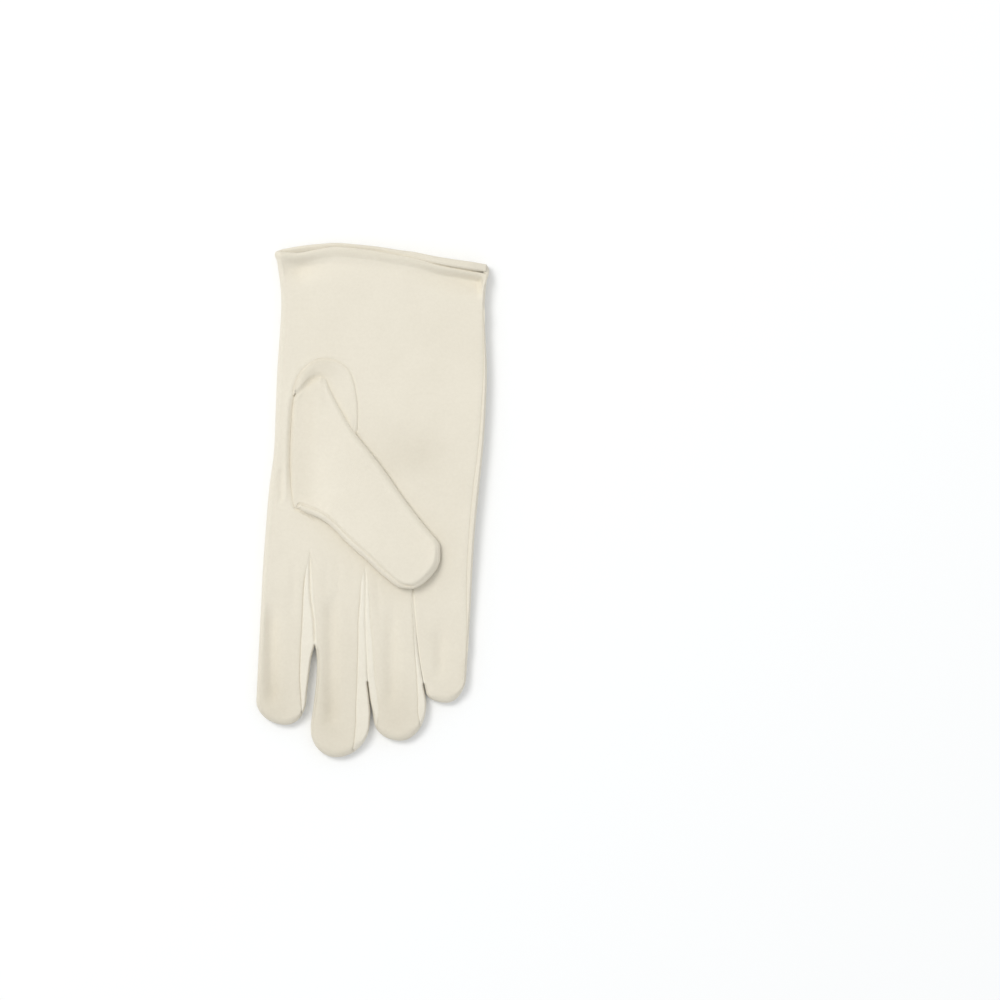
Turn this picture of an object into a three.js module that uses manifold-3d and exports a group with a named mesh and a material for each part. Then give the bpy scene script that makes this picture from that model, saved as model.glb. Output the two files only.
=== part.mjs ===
// A cotton dress glove for the right hand, lying flat with its palm up.
// The fingers point along -Y, the open cuff along +Y, and the little finger is on the +X side.
// Every piece is a wall of cloth, and each seam is a narrow gap between two pieces.

import * as THREE from 'three';
import { mergeVertices } from 'three/addons/utils/BufferGeometryUtils.js';
import Module from 'manifold-3d';

const wasm = await Module();
wasm.setup();

// Driving dimensions, in millimetres
const CLOTH = 1.2;
const SEAM_GAP = 0.3;
const HAND_HEIGHT = 9.5;
const CUFF_LIFT_TOP = 1.9;
const CUFF_LIFT_BOTTOM = 0.9;
const HAND_EDGE_RADIUS = 5;
const FINGER_EDGE_RADIUS = 8;
const HEM_DEPTH = 4.3;
const HEM_THICKNESS = 3;
const FORK_DEPTH = 6;
const FORK_SLIT = 0.5;
const WRAP_BEND = 0.3;
const THUMB_EDGE_RADIUS = 5;
const THUMB_BOTTOM_RADIUS = 3;
const THUMB_EQUATOR = 0.4;
const THUMB_TOP_CLEARANCE = 0.3;
const THUMB_MOUTH_INSET = 3;
const THUMB_BOW_POWER = 2.5;

// Where the cuff starts to open out, and over what length
const CUFF_FLARE = { start: 97, length: 13 };

// Where the hand's edge radius turns into the fingers' radius
const KNUCKLES = { start: -12, length: 26 };

// Outline of the hand and the two outer fingers, and how far the back wraps on to the palm side
const SIDES = [
  { y: 114, left: -45.4, right: 53.7, wrap: 0.7 },
  { y: 105, left: -44.1, right: 53.1, wrap: 0.7 },
  { y: 97, left: -43.2, right: 52.2, wrap: 0.7 },
  { y: 88, left: -43.1, right: 51.8, wrap: 0.8 },
  { y: 60, left: -44.9, right: 52.8, wrap: 1.5 },
  { y: 40, left: -45.7, right: 52.2, wrap: 2.0 },
  { y: 23, left: -46.4, right: 51.0, wrap: 2.3 },
  { y: 5, left: -48.7, right: 49.2, wrap: 2.8 },
  { y: -14, left: -50.3, right: 47.3, wrap: 2.6 },
  { y: -33, left: -51.7, right: 46.1, wrap: 2.5 },
  { y: -47, left: -52.4, right: 45.4, wrap: 2.0 },
  { y: -56, left: -52.9, right: 44.9, wrap: 1.2 },
  { y: -70, left: -53.6, right: 44.0, wrap: 0.8 },
  { y: -95, left: -54.8, right: 42.4, wrap: 0.6 },
];

// The gap between each two fingers: both edges, and how far each seam lies inside its edge
const FORKS = [
  {
    name: 'index_middle',
    cuffX: -20.6,
    rows: [
      { y: -24.2, left: -29.8, leftSeam: 0, right: -29.8, rightSeam: 0 },
      { y: -37.3, left: -30.1, leftSeam: 2.0, right: -29.5, rightSeam: 1.6 },
      { y: -46.6, left: -29.6, leftSeam: 2.8, right: -29.0, rightSeam: 2.0 },
      { y: -65.2, left: -28.9, leftSeam: 4.7, right: -27.8, rightSeam: 1.7 },
      { y: -74.6, left: -29.1, leftSeam: 4.7, right: -26.7, rightSeam: 1.5 },
      { y: -83.9, left: -29.8, leftSeam: 4.5, right: -26.7, rightSeam: 1.3 },
      { y: -93.2, left: -30.8, leftSeam: 2.6, right: -27.7, rightSeam: 1.0 },
      { y: -104.9, left: -31.0, leftSeam: 1.5, right: -29.4, rightSeam: 0.8 },
    ],
  },
  {
    name: 'middle_ring',
    cuffX: 4.1,
    rows: [
      { y: -31.2, left: -3.6, leftSeam: 0, right: -3.6, rightSeam: 0 },
      { y: -37.3, left: -3.9, leftSeam: 1.9, right: -3.4, rightSeam: 1.8 },
      { y: -46.6, left: -3.6, leftSeam: 2.6, right: -3.0, rightSeam: 3.4 },
      { y: -65.2, left: -3.4, leftSeam: 3.6, right: -2.7, rightSeam: 4.6 },
      { y: -83.9, left: -2.7, leftSeam: 4.8, right: -2.0, rightSeam: 4.8 },
      { y: -93.2, left: -2.0, leftSeam: 5.7, right: -1.3, rightSeam: 4.1 },
      { y: -100.2, left: -1.8, leftSeam: 6.2, right: -0.5, rightSeam: 2.6 },
      { y: -104.0, left: -1.8, leftSeam: 6.3, right: 0.1, rightSeam: 1.0 },
      { y: -116.5, left: -1.9, leftSeam: 8.1, right: 0.2, rightSeam: 0.8 },
    ],
  },
  {
    name: 'ring_little',
    cuffX: 28.9,
    rows: [
      { y: -36.3, left: 17.7, leftSeam: 0, right: 17.7, rightSeam: 0 },
      { y: -46.6, left: 18.4, leftSeam: 1.2, right: 19.0, rightSeam: 1.2 },
      { y: -65.2, left: 20.1, leftSeam: 1.3, right: 20.7, rightSeam: 1.2 },
      { y: -74.6, left: 21.5, leftSeam: 1.5, right: 22.1, rightSeam: 1.1 },
      { y: -83.9, left: 23.0, leftSeam: 2.5, right: 23.6, rightSeam: 0.9 },
      { y: -93.2, left: 24.6, leftSeam: 3.7, right: 25.2, rightSeam: 0.8 },
      { y: -98.8, left: 24.7, leftSeam: 3.8, right: 25.2, rightSeam: 0.8 },
      { y: -104.4, left: 24.7, leftSeam: 2.6, right: 25.2, rightSeam: 0.8 },
    ],
  },
];

// Round tips: how far out each finger reaches, where its lowest point is, and how long each round is
const FINGERS = [
  { name: 'index', tip: -104.9, lowestX: -40.5, leftRound: 11.6, rightRound: 11 },
  { name: 'middle', tip: -120.0, lowestX: -17.5, leftRound: 13, rightRound: 16 },
  { name: 'ring', tip: -112.3, lowestX: 12.3, leftRound: 9.5, rightRound: 17 },
  { name: 'little', tip: -94.6, lowestX: 34.0, leftRound: 4.5, rightRound: 12 },
];

// Long troughs down the finger faces, where the empty cloth sinks
const TROUGHS = [
  { x: -47.5, start: -52, end: -97, width: 3.2, depth: 0.9 },
  { x: -19.1, start: -34, end: -106, width: 3.4, depth: 1.1 },
  { x: 8.6, start: -44, end: -96, width: 3.2, depth: 0.9 },
  { x: 31.0, start: -52, end: -84, width: 3.0, depth: 0.8 },
];

// Outer rim of the cuff, seen from above: the palm side and the back side
const CUFF = [
  { x: -45.9, palm: 115.6, back: 116.5 },
  { x: -34.3, palm: 116.0, back: 118.5 },
  { x: -17.9, palm: 117.7, back: 119.9 },
  { x: -1.6, palm: 116.4, back: 118.6 },
  { x: 12.3, palm: 114.4, back: 116.6 },
  { x: 31.0, palm: 109.7, back: 113.2 },
  { x: 45.0, palm: 106.9, back: 111.1 },
  { x: 53.8, palm: 105.2, back: 109.7 },
];

// The oval seam that the thumb is set into
const THUMB_OVAL = [
  { x: -34.3, y: -4.2 },
  { x: -37.5, y: -0.5 },
  { x: -38.7, y: 14.0 },
  { x: -39.1, y: 29.8 },
  { x: -37.7, y: 46.6 },
  { x: -33.8, y: 59.2 },
  { x: -24.0, y: 64.8 },
  { x: -12.8, y: 60.6 },
  { x: -8.6, y: 46.6 },
  { x: -9.1, y: 29.8 },
  { x: -14.2, y: 13.0 },
  { x: -23.1, y: 0.0 },
];

// Cross rows of the thumb from its oval seam to its tip: the lower and upper edge seen from above,
// how far the row bows towards the tip, and how high the tube stands
const THUMB = [
  { lowX: -34.6, lowY: -3.6, highX: -23.5, highY: 62.4, bow: -8.9, height: 0 },
  { lowX: -32.8, lowY: -4.8, highX: -22.3, highY: 56.8, bow: -7.4, height: 3.4 },
  { lowX: -29.5, lowY: -6.8, highX: -18.8, highY: 48.5, bow: -6.0, height: 6.0 },
  { lowX: -25.9, lowY: -8.2, highX: -14.2, highY: 40.3, bow: -4.5, height: 7.2 },
  { lowX: -18.9, lowY: -13.0, highX: -6.3, highY: 28.7, bow: -3.0, height: 7.6 },
  { lowX: -11.0, lowY: -21.0, highX: 4.0, highY: 15.6, bow: -1.8, height: 7.6 },
  { lowX: -3.0, lowY: -28.0, highX: 14.7, highY: 0.0, bow: -0.8, height: 7.6 },
  { lowX: 4.0, lowY: -34.5, highX: 24.5, highY: -12.6, bow: 0.3, height: 7.6 },
  { lowX: 11.2, lowY: -40.3, highX: 31.0, highY: -20.6, bow: 1.4, height: 7.2 },
  { lowX: 15.5, lowY: -41.6, highX: 32.3, highY: -24.5, bow: 2.4, height: 5.4 },
  { lowX: 18.5, lowY: -42.0, highX: 32.2, highY: -28.5, bow: 3.4, height: 0 },
];

// How finely each piece is divided
const DIVISIONS = {
  acrossFinger: 6,
  alongHand: 9,
  besideFork: 3,
  alongFinger: 9,
  roundFourchette: 6,
  alongFourchette: 11,
  roundTip: 8,
  acrossHem: 18,
  hemTurn: 6,
  roundHem: 8,
  acrossThumb: 8,
  roundOval: 40,
};

// Which layer a place lies on
const PALM_SIDE = 1;
const EDGE = 0;
const BACK_SIDE = -1;

// Limits of the construction
const SEAM_ROUNDS = 24;
const NARROWEST_STRIP = 0.6;
const FINE_STEPS = 200;
const OUTLINE_STEP = 3;
const TROUGH_END = 8;
const BASE_OVERLAP = 0.3;

const mix = THREE.MathUtils.lerp;
const smooth = (value, start, length) => THREE.MathUtils.smoothstep(value, start, start + length);
const steps = (count) => Array.from({ length: count + 1 }, (_, k) => k / count);

// Divisions that crowd towards both ends, where cloth turns over an edge
const crowded = (count) => steps(count).map((s) => (1 - Math.cos(Math.PI * s)) / 2);

// A table's column read at any place along its key, on a smooth line through the rows
function read(table, key, at, column) {
  const rows = table[0][key] < table.at(-1)[key] ? table : [...table].reverse();
  const next = rows.findIndex((row) => row[key] > at);
  if (next === 0) return rows[0][column];
  if (next < 0) return rows.at(-1)[column];
  const slope = (k) => {
    const [before, after] = [rows[Math.max(k - 1, 0)], rows[Math.min(k + 1, rows.length - 1)]];
    return (after[column] - before[column]) / (after[key] - before[key]);
  };
  const [a, b] = [rows[next - 1], rows[next]];
  const length = b[key] - a[key];
  const s = (at - a[key]) / length;
  const bend = s * (1 - s) * length;
  const straight = mix(a[column], b[column], s * s * (3 - 2 * s));
  return straight + bend * ((1 - s) * slope(next - 1) - s * slope(next));
}

// Left and right edges of one finger and the seams inside them; above the fork, lines to the cuff
function fingerSide(finger, side, y) {
  const fork = FORKS[side === 'left' ? finger - 1 : finger];
  if (!fork) {
    const wrap = side === 'right' ? read(SIDES, 'y', y, 'wrap') : 0;
    return { x: read(SIDES, 'y', y, side), seam: wrap };
  }
  const top = fork.rows[0];
  if (y >= top.y) {
    const reach = (y - top.y) / (CUFF[0].palm - top.y);
    return { x: mix(top.left, fork.cuffX, reach), seam: 0 };
  }
  const edge = side === 'left' ? 'right' : 'left';
  return { x: read(fork.rows, 'y', y, edge), seam: read(fork.rows, 'y', y, edge + 'Seam') };
}

// The y of a finger's rounded end at a place across it, from two quarter ovals
function tipLine(finger, across) {
  const { tip, lowestX, leftRound, rightRound } = FINGERS[finger];
  const left = fingerSide(finger, 'left', tip + leftRound).x;
  const right = fingerSide(finger, 'right', tip + rightRound).x;
  const lowest = (lowestX - left) / (right - left);
  const isLeft = across < lowest;
  const offset = isLeft ? (lowest - across) / lowest : (across - lowest) / (1 - lowest);
  const round = isLeft ? leftRound : rightRound;
  return tip + round * (1 - Math.sqrt(Math.max(0, 1 - offset * offset)));
}

// The fork's y on each side of a finger, where its own rows begin
function forkLine(finger, across) {
  const before = FORKS[finger - 1] ?? FORKS[finger];
  const after = FORKS[finger] ?? FORKS[finger - 1];
  return mix(before.rows[0].y, after.rows[0].y, across);
}

// The whole outline seen from above, down one side, round each finger and up the other side
function makeOutline() {
  const points = [];
  const side = (finger, name, from, to) => {
    steps(Math.ceil(Math.abs(from - to) / OUTLINE_STEP)).forEach((s) => {
      const y = mix(from, to, s);
      points.push(new THREE.Vector2(fingerSide(finger, name, y).x, y));
    });
  };
  FINGERS.forEach((row, finger) => {
    const start = finger === 0 ? CUFF[2].back : FORKS[finger - 1].rows[0].y - FORK_DEPTH;
    const end = finger === 3 ? CUFF[2].back : FORKS[finger].rows[0].y - FORK_DEPTH;
    side(finger, 'left', start, row.tip + row.leftRound);
    crowded(2 * DIVISIONS.roundTip).slice(1, -1).forEach((across) => {
      const y = tipLine(finger, across);
      const left = fingerSide(finger, 'left', y).x;
      points.push(new THREE.Vector2(mix(left, fingerSide(finger, 'right', y).x, across), y));
    });
    side(finger, 'right', row.tip + row.rightRound, end);
  });
  return points;
}
const outline = makeOutline();

// Distance from a point inside the outline to its nearest edge, and the direction away from it
function nearestEdge(x, y) {
  const point = new THREE.Vector3(x, y, 0);
  const nearest = new THREE.Vector3();
  const best = { distance: Infinity, away: new THREE.Vector2() };
  for (let k = 1; k < outline.length; k += 1) {
    const [a, b] = [outline[k - 1], outline[k]];
    const line = new THREE.Line3(new THREE.Vector3(a.x, a.y, 0), new THREE.Vector3(b.x, b.y, 0));
    line.closestPointToPoint(point, true, nearest);
    const distance = nearest.distanceTo(point);
    if (distance < best.distance - 1e-6) {
      best.distance = distance;
      best.away.set(x - nearest.x, y - nearest.y);
      if (distance < SEAM_GAP) best.away.set(a.y - b.y, b.x - a.x);
      best.away.normalize();
    }
  }
  return best;
}

// The cuff's rim at a place across it, where the palm side and the back side meet round the edges
function cuffRim(x, face) {
  const { left, right } = SIDES[0];
  const distance = Math.max(0, Math.min(x - left, right - x, HAND_EDGE_RADIUS));
  const palmShare = (1 + face * Math.sin(Math.acos(1 - distance / HAND_EDGE_RADIUS))) / 2;
  return mix(read(CUFF, 'x', x, 'back'), read(CUFF, 'x', x, 'palm'), palmShare);
}

// How far the cloth sinks into the troughs of the finger faces
function troughDepth(x, y) {
  return TROUGHS.reduce((sum, { x: centre, start, end, width, depth }) => {
    const ends = smooth(-y, -start, TROUGH_END) * (1 - smooth(-y, -end - TROUGH_END, TROUGH_END));
    return sum + depth * ends * Math.exp(-(((x - centre) / width) ** 2));
  }, 0);
}

// A place on the glove's skin: outer point and the matching point on the inside of the cloth
function skin(x, y, face) {
  const flare = smooth(y, CUFF_FLARE.start, CUFF_FLARE.length);
  const low = CUFF_LIFT_BOTTOM * flare;
  const high = HAND_HEIGHT + CUFF_LIFT_TOP * flare;
  const half = (high - low) / 2;
  const radius = mix(HAND_EDGE_RADIUS, FINGER_EDGE_RADIUS, smooth(-y, -KNUCKLES.start, KNUCKLES.length));
  const { distance, away } = nearestEdge(x, y);
  const turn = Math.acos(1 - Math.min(distance / radius, 1));
  const gap = SEAM_GAP / 2;
  const rise = face * (gap + (half - gap) * Math.sin(turn));
  const outer = new THREE.Vector3(x, y, low + half + rise);
  if (face === PALM_SIDE) outer.z -= troughDepth(x, y);
  const slope = half * Math.cos(turn);
  const normal = new THREE.Vector3(-slope * away.x, -slope * away.y, face * radius * Math.sin(turn));
  return { outer, inner: outer.clone().addScaledVector(normal.normalize(), -CLOTH) };
}

// Joins grids of skin places into one closed wall: outside, inside and every open edge
function makeWall(grids) {
  const positions = [];
  const outerFaces = [];
  const keys = new Map();
  const index = ({ outer, inner }) => {
    const key = [outer.x, outer.y, outer.z].map((v) => v.toFixed(3)).join(' ');
    if (!keys.has(key)) {
      keys.set(key, keys.size);
      positions.push(outer, inner);
    }
    return keys.get(key);
  };
  grids.forEach((grid) => {
    const ids = grid.map((row) => row.map(index));
    for (let i = 1; i < ids.length; i += 1) {
      for (let j = 1; j < ids[i].length; j += 1) {
        const [a, b, c, d] = [ids[i - 1][j - 1], ids[i][j - 1], ids[i][j], ids[i - 1][j]];
        outerFaces.push([a, b, c], [a, c, d]);
      }
    }
  });
  const faces = outerFaces.filter(([a, b, c]) => a !== b && b !== c && c !== a);
  const edges = new Set(faces.flatMap(([a, b, c]) => [`${a} ${b}`, `${b} ${c}`, `${c} ${a}`]));
  const triangles = faces.flatMap(([a, b, c]) => [2 * a, 2 * b, 2 * c, 2 * a + 1, 2 * c + 1, 2 * b + 1]);
  edges.forEach((edge) => {
    const [a, b] = edge.split(' ').map(Number);
    if (edges.has(`${b} ${a}`)) return;
    triangles.push(2 * a, 2 * a + 1, 2 * b + 1, 2 * a, 2 * b + 1, 2 * b);
  });
  return makeGeometry(positions, triangles);
}

function makeGeometry(points, triangles) {
  const geometry = new THREE.BufferGeometry().setFromPoints(points);
  geometry.setIndex(triangles);
  return geometry;
}

// Rows of places along one finger and its share of the hand; a place is a share across and a face
function makeColumn(finger, placesAt) {
  const [cuffLeft, cuffRight] = ['left', 'right'].map((side) => fingerSide(finger, side, CUFF[0].palm).x);
  const cuffLine = (across, face) => (
    cuffRim(mix(cuffLeft, cuffRight, across), face) - HEM_DEPTH - SEAM_GAP
  );
  const makeRow = (share, start, end) => {
    const rowY = (across, face) => mix(start(across, face), end(across), share);
    return placesAt(rowY).map(({ across, face }) => {
      const y = rowY(across, face);
      const left = fingerSide(finger, 'left', y).x;
      return skin(mix(left, fingerSide(finger, 'right', y).x, across), y, face);
    });
  };
  const fork = (across) => forkLine(finger, across);
  const tip = (across) => tipLine(finger, across);
  const forkShare = FORK_DEPTH / (fork(0.5) - tip(0.5));
  const reach = [
    ...steps(DIVISIONS.besideFork).slice(1).map((s) => s * forkShare),
    ...steps(DIVISIONS.alongFinger).slice(1).map((s) => mix(forkShare, 1, Math.sin((s * Math.PI) / 2))),
  ];
  return [
    ...steps(DIVISIONS.alongHand).map((share) => makeRow(share, cuffLine, fork)),
    ...reach.map((share) => makeRow(share, fork, tip)),
  ];
}

// The share across a finger at which a row meets a line inside one of its edges
function shareInside(finger, side, rowY, extra) {
  const isLeft = side === 'left';
  let across = isLeft ? 0 : 1;
  for (let k = 0; k < SEAM_ROUNDS; k += 1) {
    const y = rowY(across, PALM_SIDE);
    const width = fingerSide(finger, 'right', y).x - fingerSide(finger, 'left', y).x;
    const { seam } = fingerSide(finger, side, y);
    const inset = seam > 0 ? Math.max(seam + extra, 0) / width : 0;
    across = mix(across, isLeft ? inset : 1 - inset, 0.5);
  }
  return across;
}

// Shares across a finger between its two seams, each kept a seam gap away
function betweenSeams(finger, rowY) {
  const start = shareInside(finger, 'left', rowY, SEAM_GAP);
  const end = shareInside(finger, 'right', rowY, SEAM_GAP);
  return crowded(DIVISIONS.acrossFinger).map((s) => mix(start, end, s));
}

function makePalm() {
  return makeWall(FINGERS.map((_, finger) => makeColumn(finger, (rowY) => (
    betweenSeams(finger, rowY).map((across) => ({ across, face: PALM_SIDE }))
  ))));
}

// The back runs under the hand and, at the little finger's side, round the edge up to its seam
function makeBack() {
  return makeWall(FINGERS.map((_, finger) => makeColumn(finger, (rowY) => {
    const places = betweenSeams(finger, rowY).map((across) => ({ across, face: BACK_SIDE }));
    if (finger === FINGERS.length - 1) {
      const seam = shareInside(finger, 'right', rowY, -SEAM_GAP / 2);
      places[places.length - 1] = { across: 1, face: EDGE };
      places.push({ across: mix(1, seam, WRAP_BEND), face: PALM_SIDE }, { across: seam, face: PALM_SIDE });
    }
    return places.reverse();
  })));
}

// Where a finger's rounded outline runs at a height along it
function roundedEdge(finger, side, y) {
  const { tip, lowestX, leftRound, rightRound } = FINGERS[finger];
  const edge = fingerSide(finger, side, y).x;
  const round = side === 'left' ? leftRound : rightRound;
  const climb = Math.min((y - tip) / round, 1);
  return mix(lowestX, edge, Math.sqrt(Math.max(0, 1 - (1 - climb) ** 2)));
}

// The two long edges of a fourchette at a height along one finger's side
function flankEnds(finger, side, y) {
  const inward = side === 'left' ? 1 : -1;
  const { x, seam } = fingerSide(finger, side, y);
  return {
    seam: new THREE.Vector2(x + inward * (seam - SEAM_GAP / 2), y),
    edge: new THREE.Vector2(roundedEdge(finger, side, y), y),
  };
}

// The strip between two fingers: from one tip up to the fork and down to the other tip
function makeFourchette(order) {
  const fork = FORKS[order];
  const slitTop = fork.rows[0].y - FORK_DEPTH;
  const half = DIVISIONS.roundFourchette / 2;
  const bends = steps(half).map((s) => Math.sin((s * Math.PI) / 2));
  const across = (from, to) => {
    const place = (bend, face) => skin(mix(from.x, to.x, bend), mix(from.y, to.y, bend), face);
    const inner = bends.slice(0, -1);
    return [
      ...inner.map((bend) => place(bend, BACK_SIDE)),
      place(1, EDGE),
      ...inner.map((bend) => place(bend, PALM_SIDE)).reverse(),
    ];
  };
  const flank = (finger, side) => {
    const { tip } = FINGERS[finger];
    const places = steps(FINE_STEPS).map((s) => flankEnds(finger, side, mix(slitTop - FORK_SLIT, tip, s)));
    const end = places.findIndex(({ seam, edge }) => seam.distanceTo(edge) < NARROWEST_STRIP);
    return steps(DIVISIONS.alongFourchette).map((s) => {
      const { seam, edge } = places[Math.round(s * (end - 1))];
      return across(seam, edge);
    });
  };
  const top = fork.rows[0];
  const crotchSeam = new THREE.Vector2(top.left, top.y - SEAM_GAP);
  const crotchEdge = new THREE.Vector2(top.left, slitTop);
  const fan = (finger, side) => steps(DIVISIONS.besideFork).slice(1, -1).map((s) => {
    const end = flankEnds(finger, side, slitTop - FORK_SLIT);
    return across(crotchSeam.clone().lerp(end.seam, s), crotchEdge.clone().lerp(end.edge, s));
  });
  return makeWall([[
    ...flank(order, 'right').reverse(),
    ...fan(order, 'right').reverse(),
    across(crotchSeam, crotchEdge),
    ...fan(order + 1, 'left'),
    ...flank(order + 1, 'left'),
  ]]);
}

// A closed ring: sections round a loop, each a closed line of points
function makeRing(sections) {
  const count = sections[0].length;
  const triangles = sections.flatMap((section, i) => section.flatMap((_, j) => {
    const next = ((i + 1) % sections.length) * count;
    const here = i * count;
    const k = (j + 1) % count;
    return [here + j, next + j, next + k, here + j, next + k, here + k];
  }));
  return makeGeometry(sections.flat(), triangles);
}

// The rolled edge round the cuff: an oval section carried along the middle of the cloth
function makeHem() {
  const { left, right } = SIDES[0];
  const radius = HAND_EDGE_RADIUS;
  const low = CUFF_LIFT_BOTTOM;
  const half = (HAND_HEIGHT + CUFF_LIFT_TOP - low) / 2;
  const flat = steps(DIVISIONS.acrossHem).map((s) => mix(left + radius, right - radius, s));
  const turns = steps(DIVISIONS.hemTurn).slice(1, -1).map((s) => (0.5 - s) * Math.PI);
  const loop = [
    ...flat.map((x) => ({ x, turn: Math.PI / 2, away: 1 })),
    ...turns.map((turn) => ({ x: right - radius, turn, away: 1 })),
    ...flat.map((x) => ({ x, turn: -Math.PI / 2, away: 1 })).reverse(),
    ...turns.map((turn) => ({ x: left + radius, turn, away: -1 })).reverse(),
  ];
  return makeRing(loop.map(({ x, turn, away }) => {
    const normal = new THREE.Vector3(away * half * Math.cos(turn), 0, radius * Math.sin(turn)).normalize();
    const skinX = x + away * radius * Math.cos(turn);
    const rim = cuffRim(skinX, Math.sign(turn));
    const centre = new THREE.Vector3(skinX, rim - HEM_DEPTH / 2, low + half * (1 + Math.sin(turn)));
    centre.addScaledVector(normal, -CLOTH / 2);
    return steps(DIVISIONS.roundHem).slice(1).map((s) => {
      const angle = s * 2 * Math.PI;
      const point = centre.clone().addScaledVector(normal, (HEM_THICKNESS / 2) * Math.cos(angle));
      point.y += (HEM_DEPTH / 2) * Math.sin(angle);
      return point;
    });
  }));
}

// A closed mesh turned into a solid that can be joined and cut, and back again
function toSolid(geometry) {
  geometry.deleteAttribute('normal');
  geometry.deleteAttribute('uv');
  const merged = mergeVertices(geometry, 1e-4);
  const triVerts = [];
  for (let k = 0; k < merged.index.count; k += 3) {
    const [a, b, c] = [0, 1, 2].map((n) => merged.index.getX(k + n));
    if (a !== b && b !== c && c !== a) triVerts.push(a, b, c);
  }
  const vertProperties = new Float32Array(merged.attributes.position.array);
  const mesh = new wasm.Mesh({ numProp: 3, vertProperties, triVerts: new Uint32Array(triVerts) });
  return new wasm.Manifold(mesh);
}

function toGeometry(solid) {
  const { vertProperties, triVerts } = solid.getMesh();
  const geometry = new THREE.BufferGeometry();
  geometry.setAttribute('position', new THREE.BufferAttribute(new Float32Array(vertProperties), 3));
  geometry.setIndex([...triVerts]);
  return geometry;
}

// An upright block with the plan of a line of points
function makeBlock(points, low, high) {
  const shape = new THREE.Shape(points);
  const geometry = new THREE.ExtrudeGeometry(shape, { depth: high - low, bevelEnabled: false });
  return toSolid(geometry.translate(0, 0, low));
}

// The thumb's oval seam, moved out or in
function ovalPlan(offset) {
  const corners = THUMB_OVAL.map(({ x, y }) => new THREE.Vector3(x, y, 0));
  const curve = new THREE.CatmullRomCurve3(corners, true);
  return steps(DIVISIONS.roundOval).slice(1).map((s) => {
    const along = curve.getTangentAt(s);
    return curve.getPointAt(s).add(new THREE.Vector3(-along.y, along.x, 0).multiplyScalar(offset));
  }).map(({ x, y }) => new THREE.Vector2(x, y));
}

// Thumb sections across the tube, on its outside or some way in from it
function thumbSections(rows, cloth) {
  const base = HAND_HEIGHT + THUMB_TOP_CLEARANCE + cloth;
  return rows.map(({ lowX, lowY, highX, highY, bow, height }) => {
    const low = new THREE.Vector2(lowX, lowY);
    const across = new THREE.Vector2(highX, highY).sub(low);
    const width = across.length();
    across.normalize();
    const shares = crowded(DIVISIONS.acrossThumb).map((s) => mix(cloth / width, 1 - cloth / width, s));
    const rise = Math.max(height - 2 * cloth, 0);
    const points = (radius, from, to) => shares.map((s) => {
      const along = low.clone().addScaledVector(across, s * width);
      const push = bow * (1 - Math.abs(2 * s - 1) ** THUMB_BOW_POWER);
      const edge = Math.min(s * width - cloth, (1 - s) * width - cloth, radius) / radius;
      const swell = Math.sqrt(Math.max(0, 1 - (1 - edge) ** 2));
      const x = along.x + across.y * push;
      return new THREE.Vector3(x, along.y - across.x * push, base + rise * mix(from, to, swell));
    });
    return {
      top: points(THUMB_EDGE_RADIUS - cloth, THUMB_EQUATOR, 1),
      bottom: points(THUMB_BOTTOM_RADIUS - cloth, THUMB_EQUATOR, 0),
    };
  });
}

// A closed tube from sections with a top and a bottom line, with its two ends closed
function makeTube(sections) {
  const loops = sections.map(({ top, bottom }) => [...top, ...bottom.slice(1, -1).reverse()]);
  const count = loops[0].length;
  const triangles = [];
  const quad = (a, b, c, d) => triangles.push(a, c, b, a, d, c);
  loops.slice(1).forEach((_, i) => {
    for (let j = 0; j < count; j += 1) {
      const k = (j + 1) % count;
      quad(i * count + j, i * count + k, (i + 1) * count + k, (i + 1) * count + j);
    }
  });
  const under = (j) => (count - j) % count;
  for (let j = 0; j < DIVISIONS.acrossThumb; j += 1) {
    const end = (loops.length - 1) * count;
    quad(under(j), under(j + 1), j + 1, j);
    quad(end + j, end + j + 1, end + under(j + 1), end + under(j));
  }
  return toSolid(makeGeometry(loops.flat(), triangles));
}

// The thumb tube on its oval base, opened from below into the hand
function makeThumb() {
  const hollowRows = THUMB.filter(({ height }) => height > 3 * CLOTH);
  const hollow = makeTube(thumbSections(hollowRows, CLOTH));
  const palmInside = HAND_HEIGHT - CLOTH;
  const floor = HAND_HEIGHT + THUMB_TOP_CLEARANCE;
  const base = makeBlock(ovalPlan(0), palmInside, floor + BASE_OVERLAP);
  const mouth = thumbSections(hollowRows, THUMB_MOUTH_INSET).map(({ bottom }) => bottom);
  const plan = [
    ...mouth.map((row) => row[0]),
    ...mouth.at(-1).slice(1, -1),
    ...mouth.map((row) => row.at(-1)).reverse(),
    ...mouth[0].slice(1, -1).reverse(),
  ].map(({ x, y }) => new THREE.Vector2(x, y));
  const low = palmInside - CLOTH;
  const high = floor + CLOTH + BASE_OVERLAP;
  const way = makeBlock(plan, low, high).intersect(makeBlock(ovalPlan(-CLOTH), low, high));
  return makeTube(thumbSections(THUMB, 0)).add(base).subtract(hollow).subtract(way);
}

const cotton = () => new THREE.MeshStandardMaterial({ color: '#eae2d0', roughness: 0.95, metalness: 0 });

function addMesh(parent, name, geometry) {
  const mesh = new THREE.Mesh(geometry, cotton());
  mesh.name = name;
  parent.add(mesh);
}

const thumbHole = makeBlock(ovalPlan(SEAM_GAP), HAND_HEIGHT / 2 + CLOTH, HAND_HEIGHT + CLOTH);

const glove = new THREE.Group();
addMesh(glove, 'palm', toGeometry(toSolid(makePalm()).subtract(thumbHole)));
addMesh(glove, 'back', makeBack());
addMesh(glove, 'thumb', toGeometry(makeThumb()));
addMesh(glove, 'wrist_hem', makeHem());
FORKS.forEach(({ name }, order) => addMesh(glove, `fourchette_${name}`, makeFourchette(order)));

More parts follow.
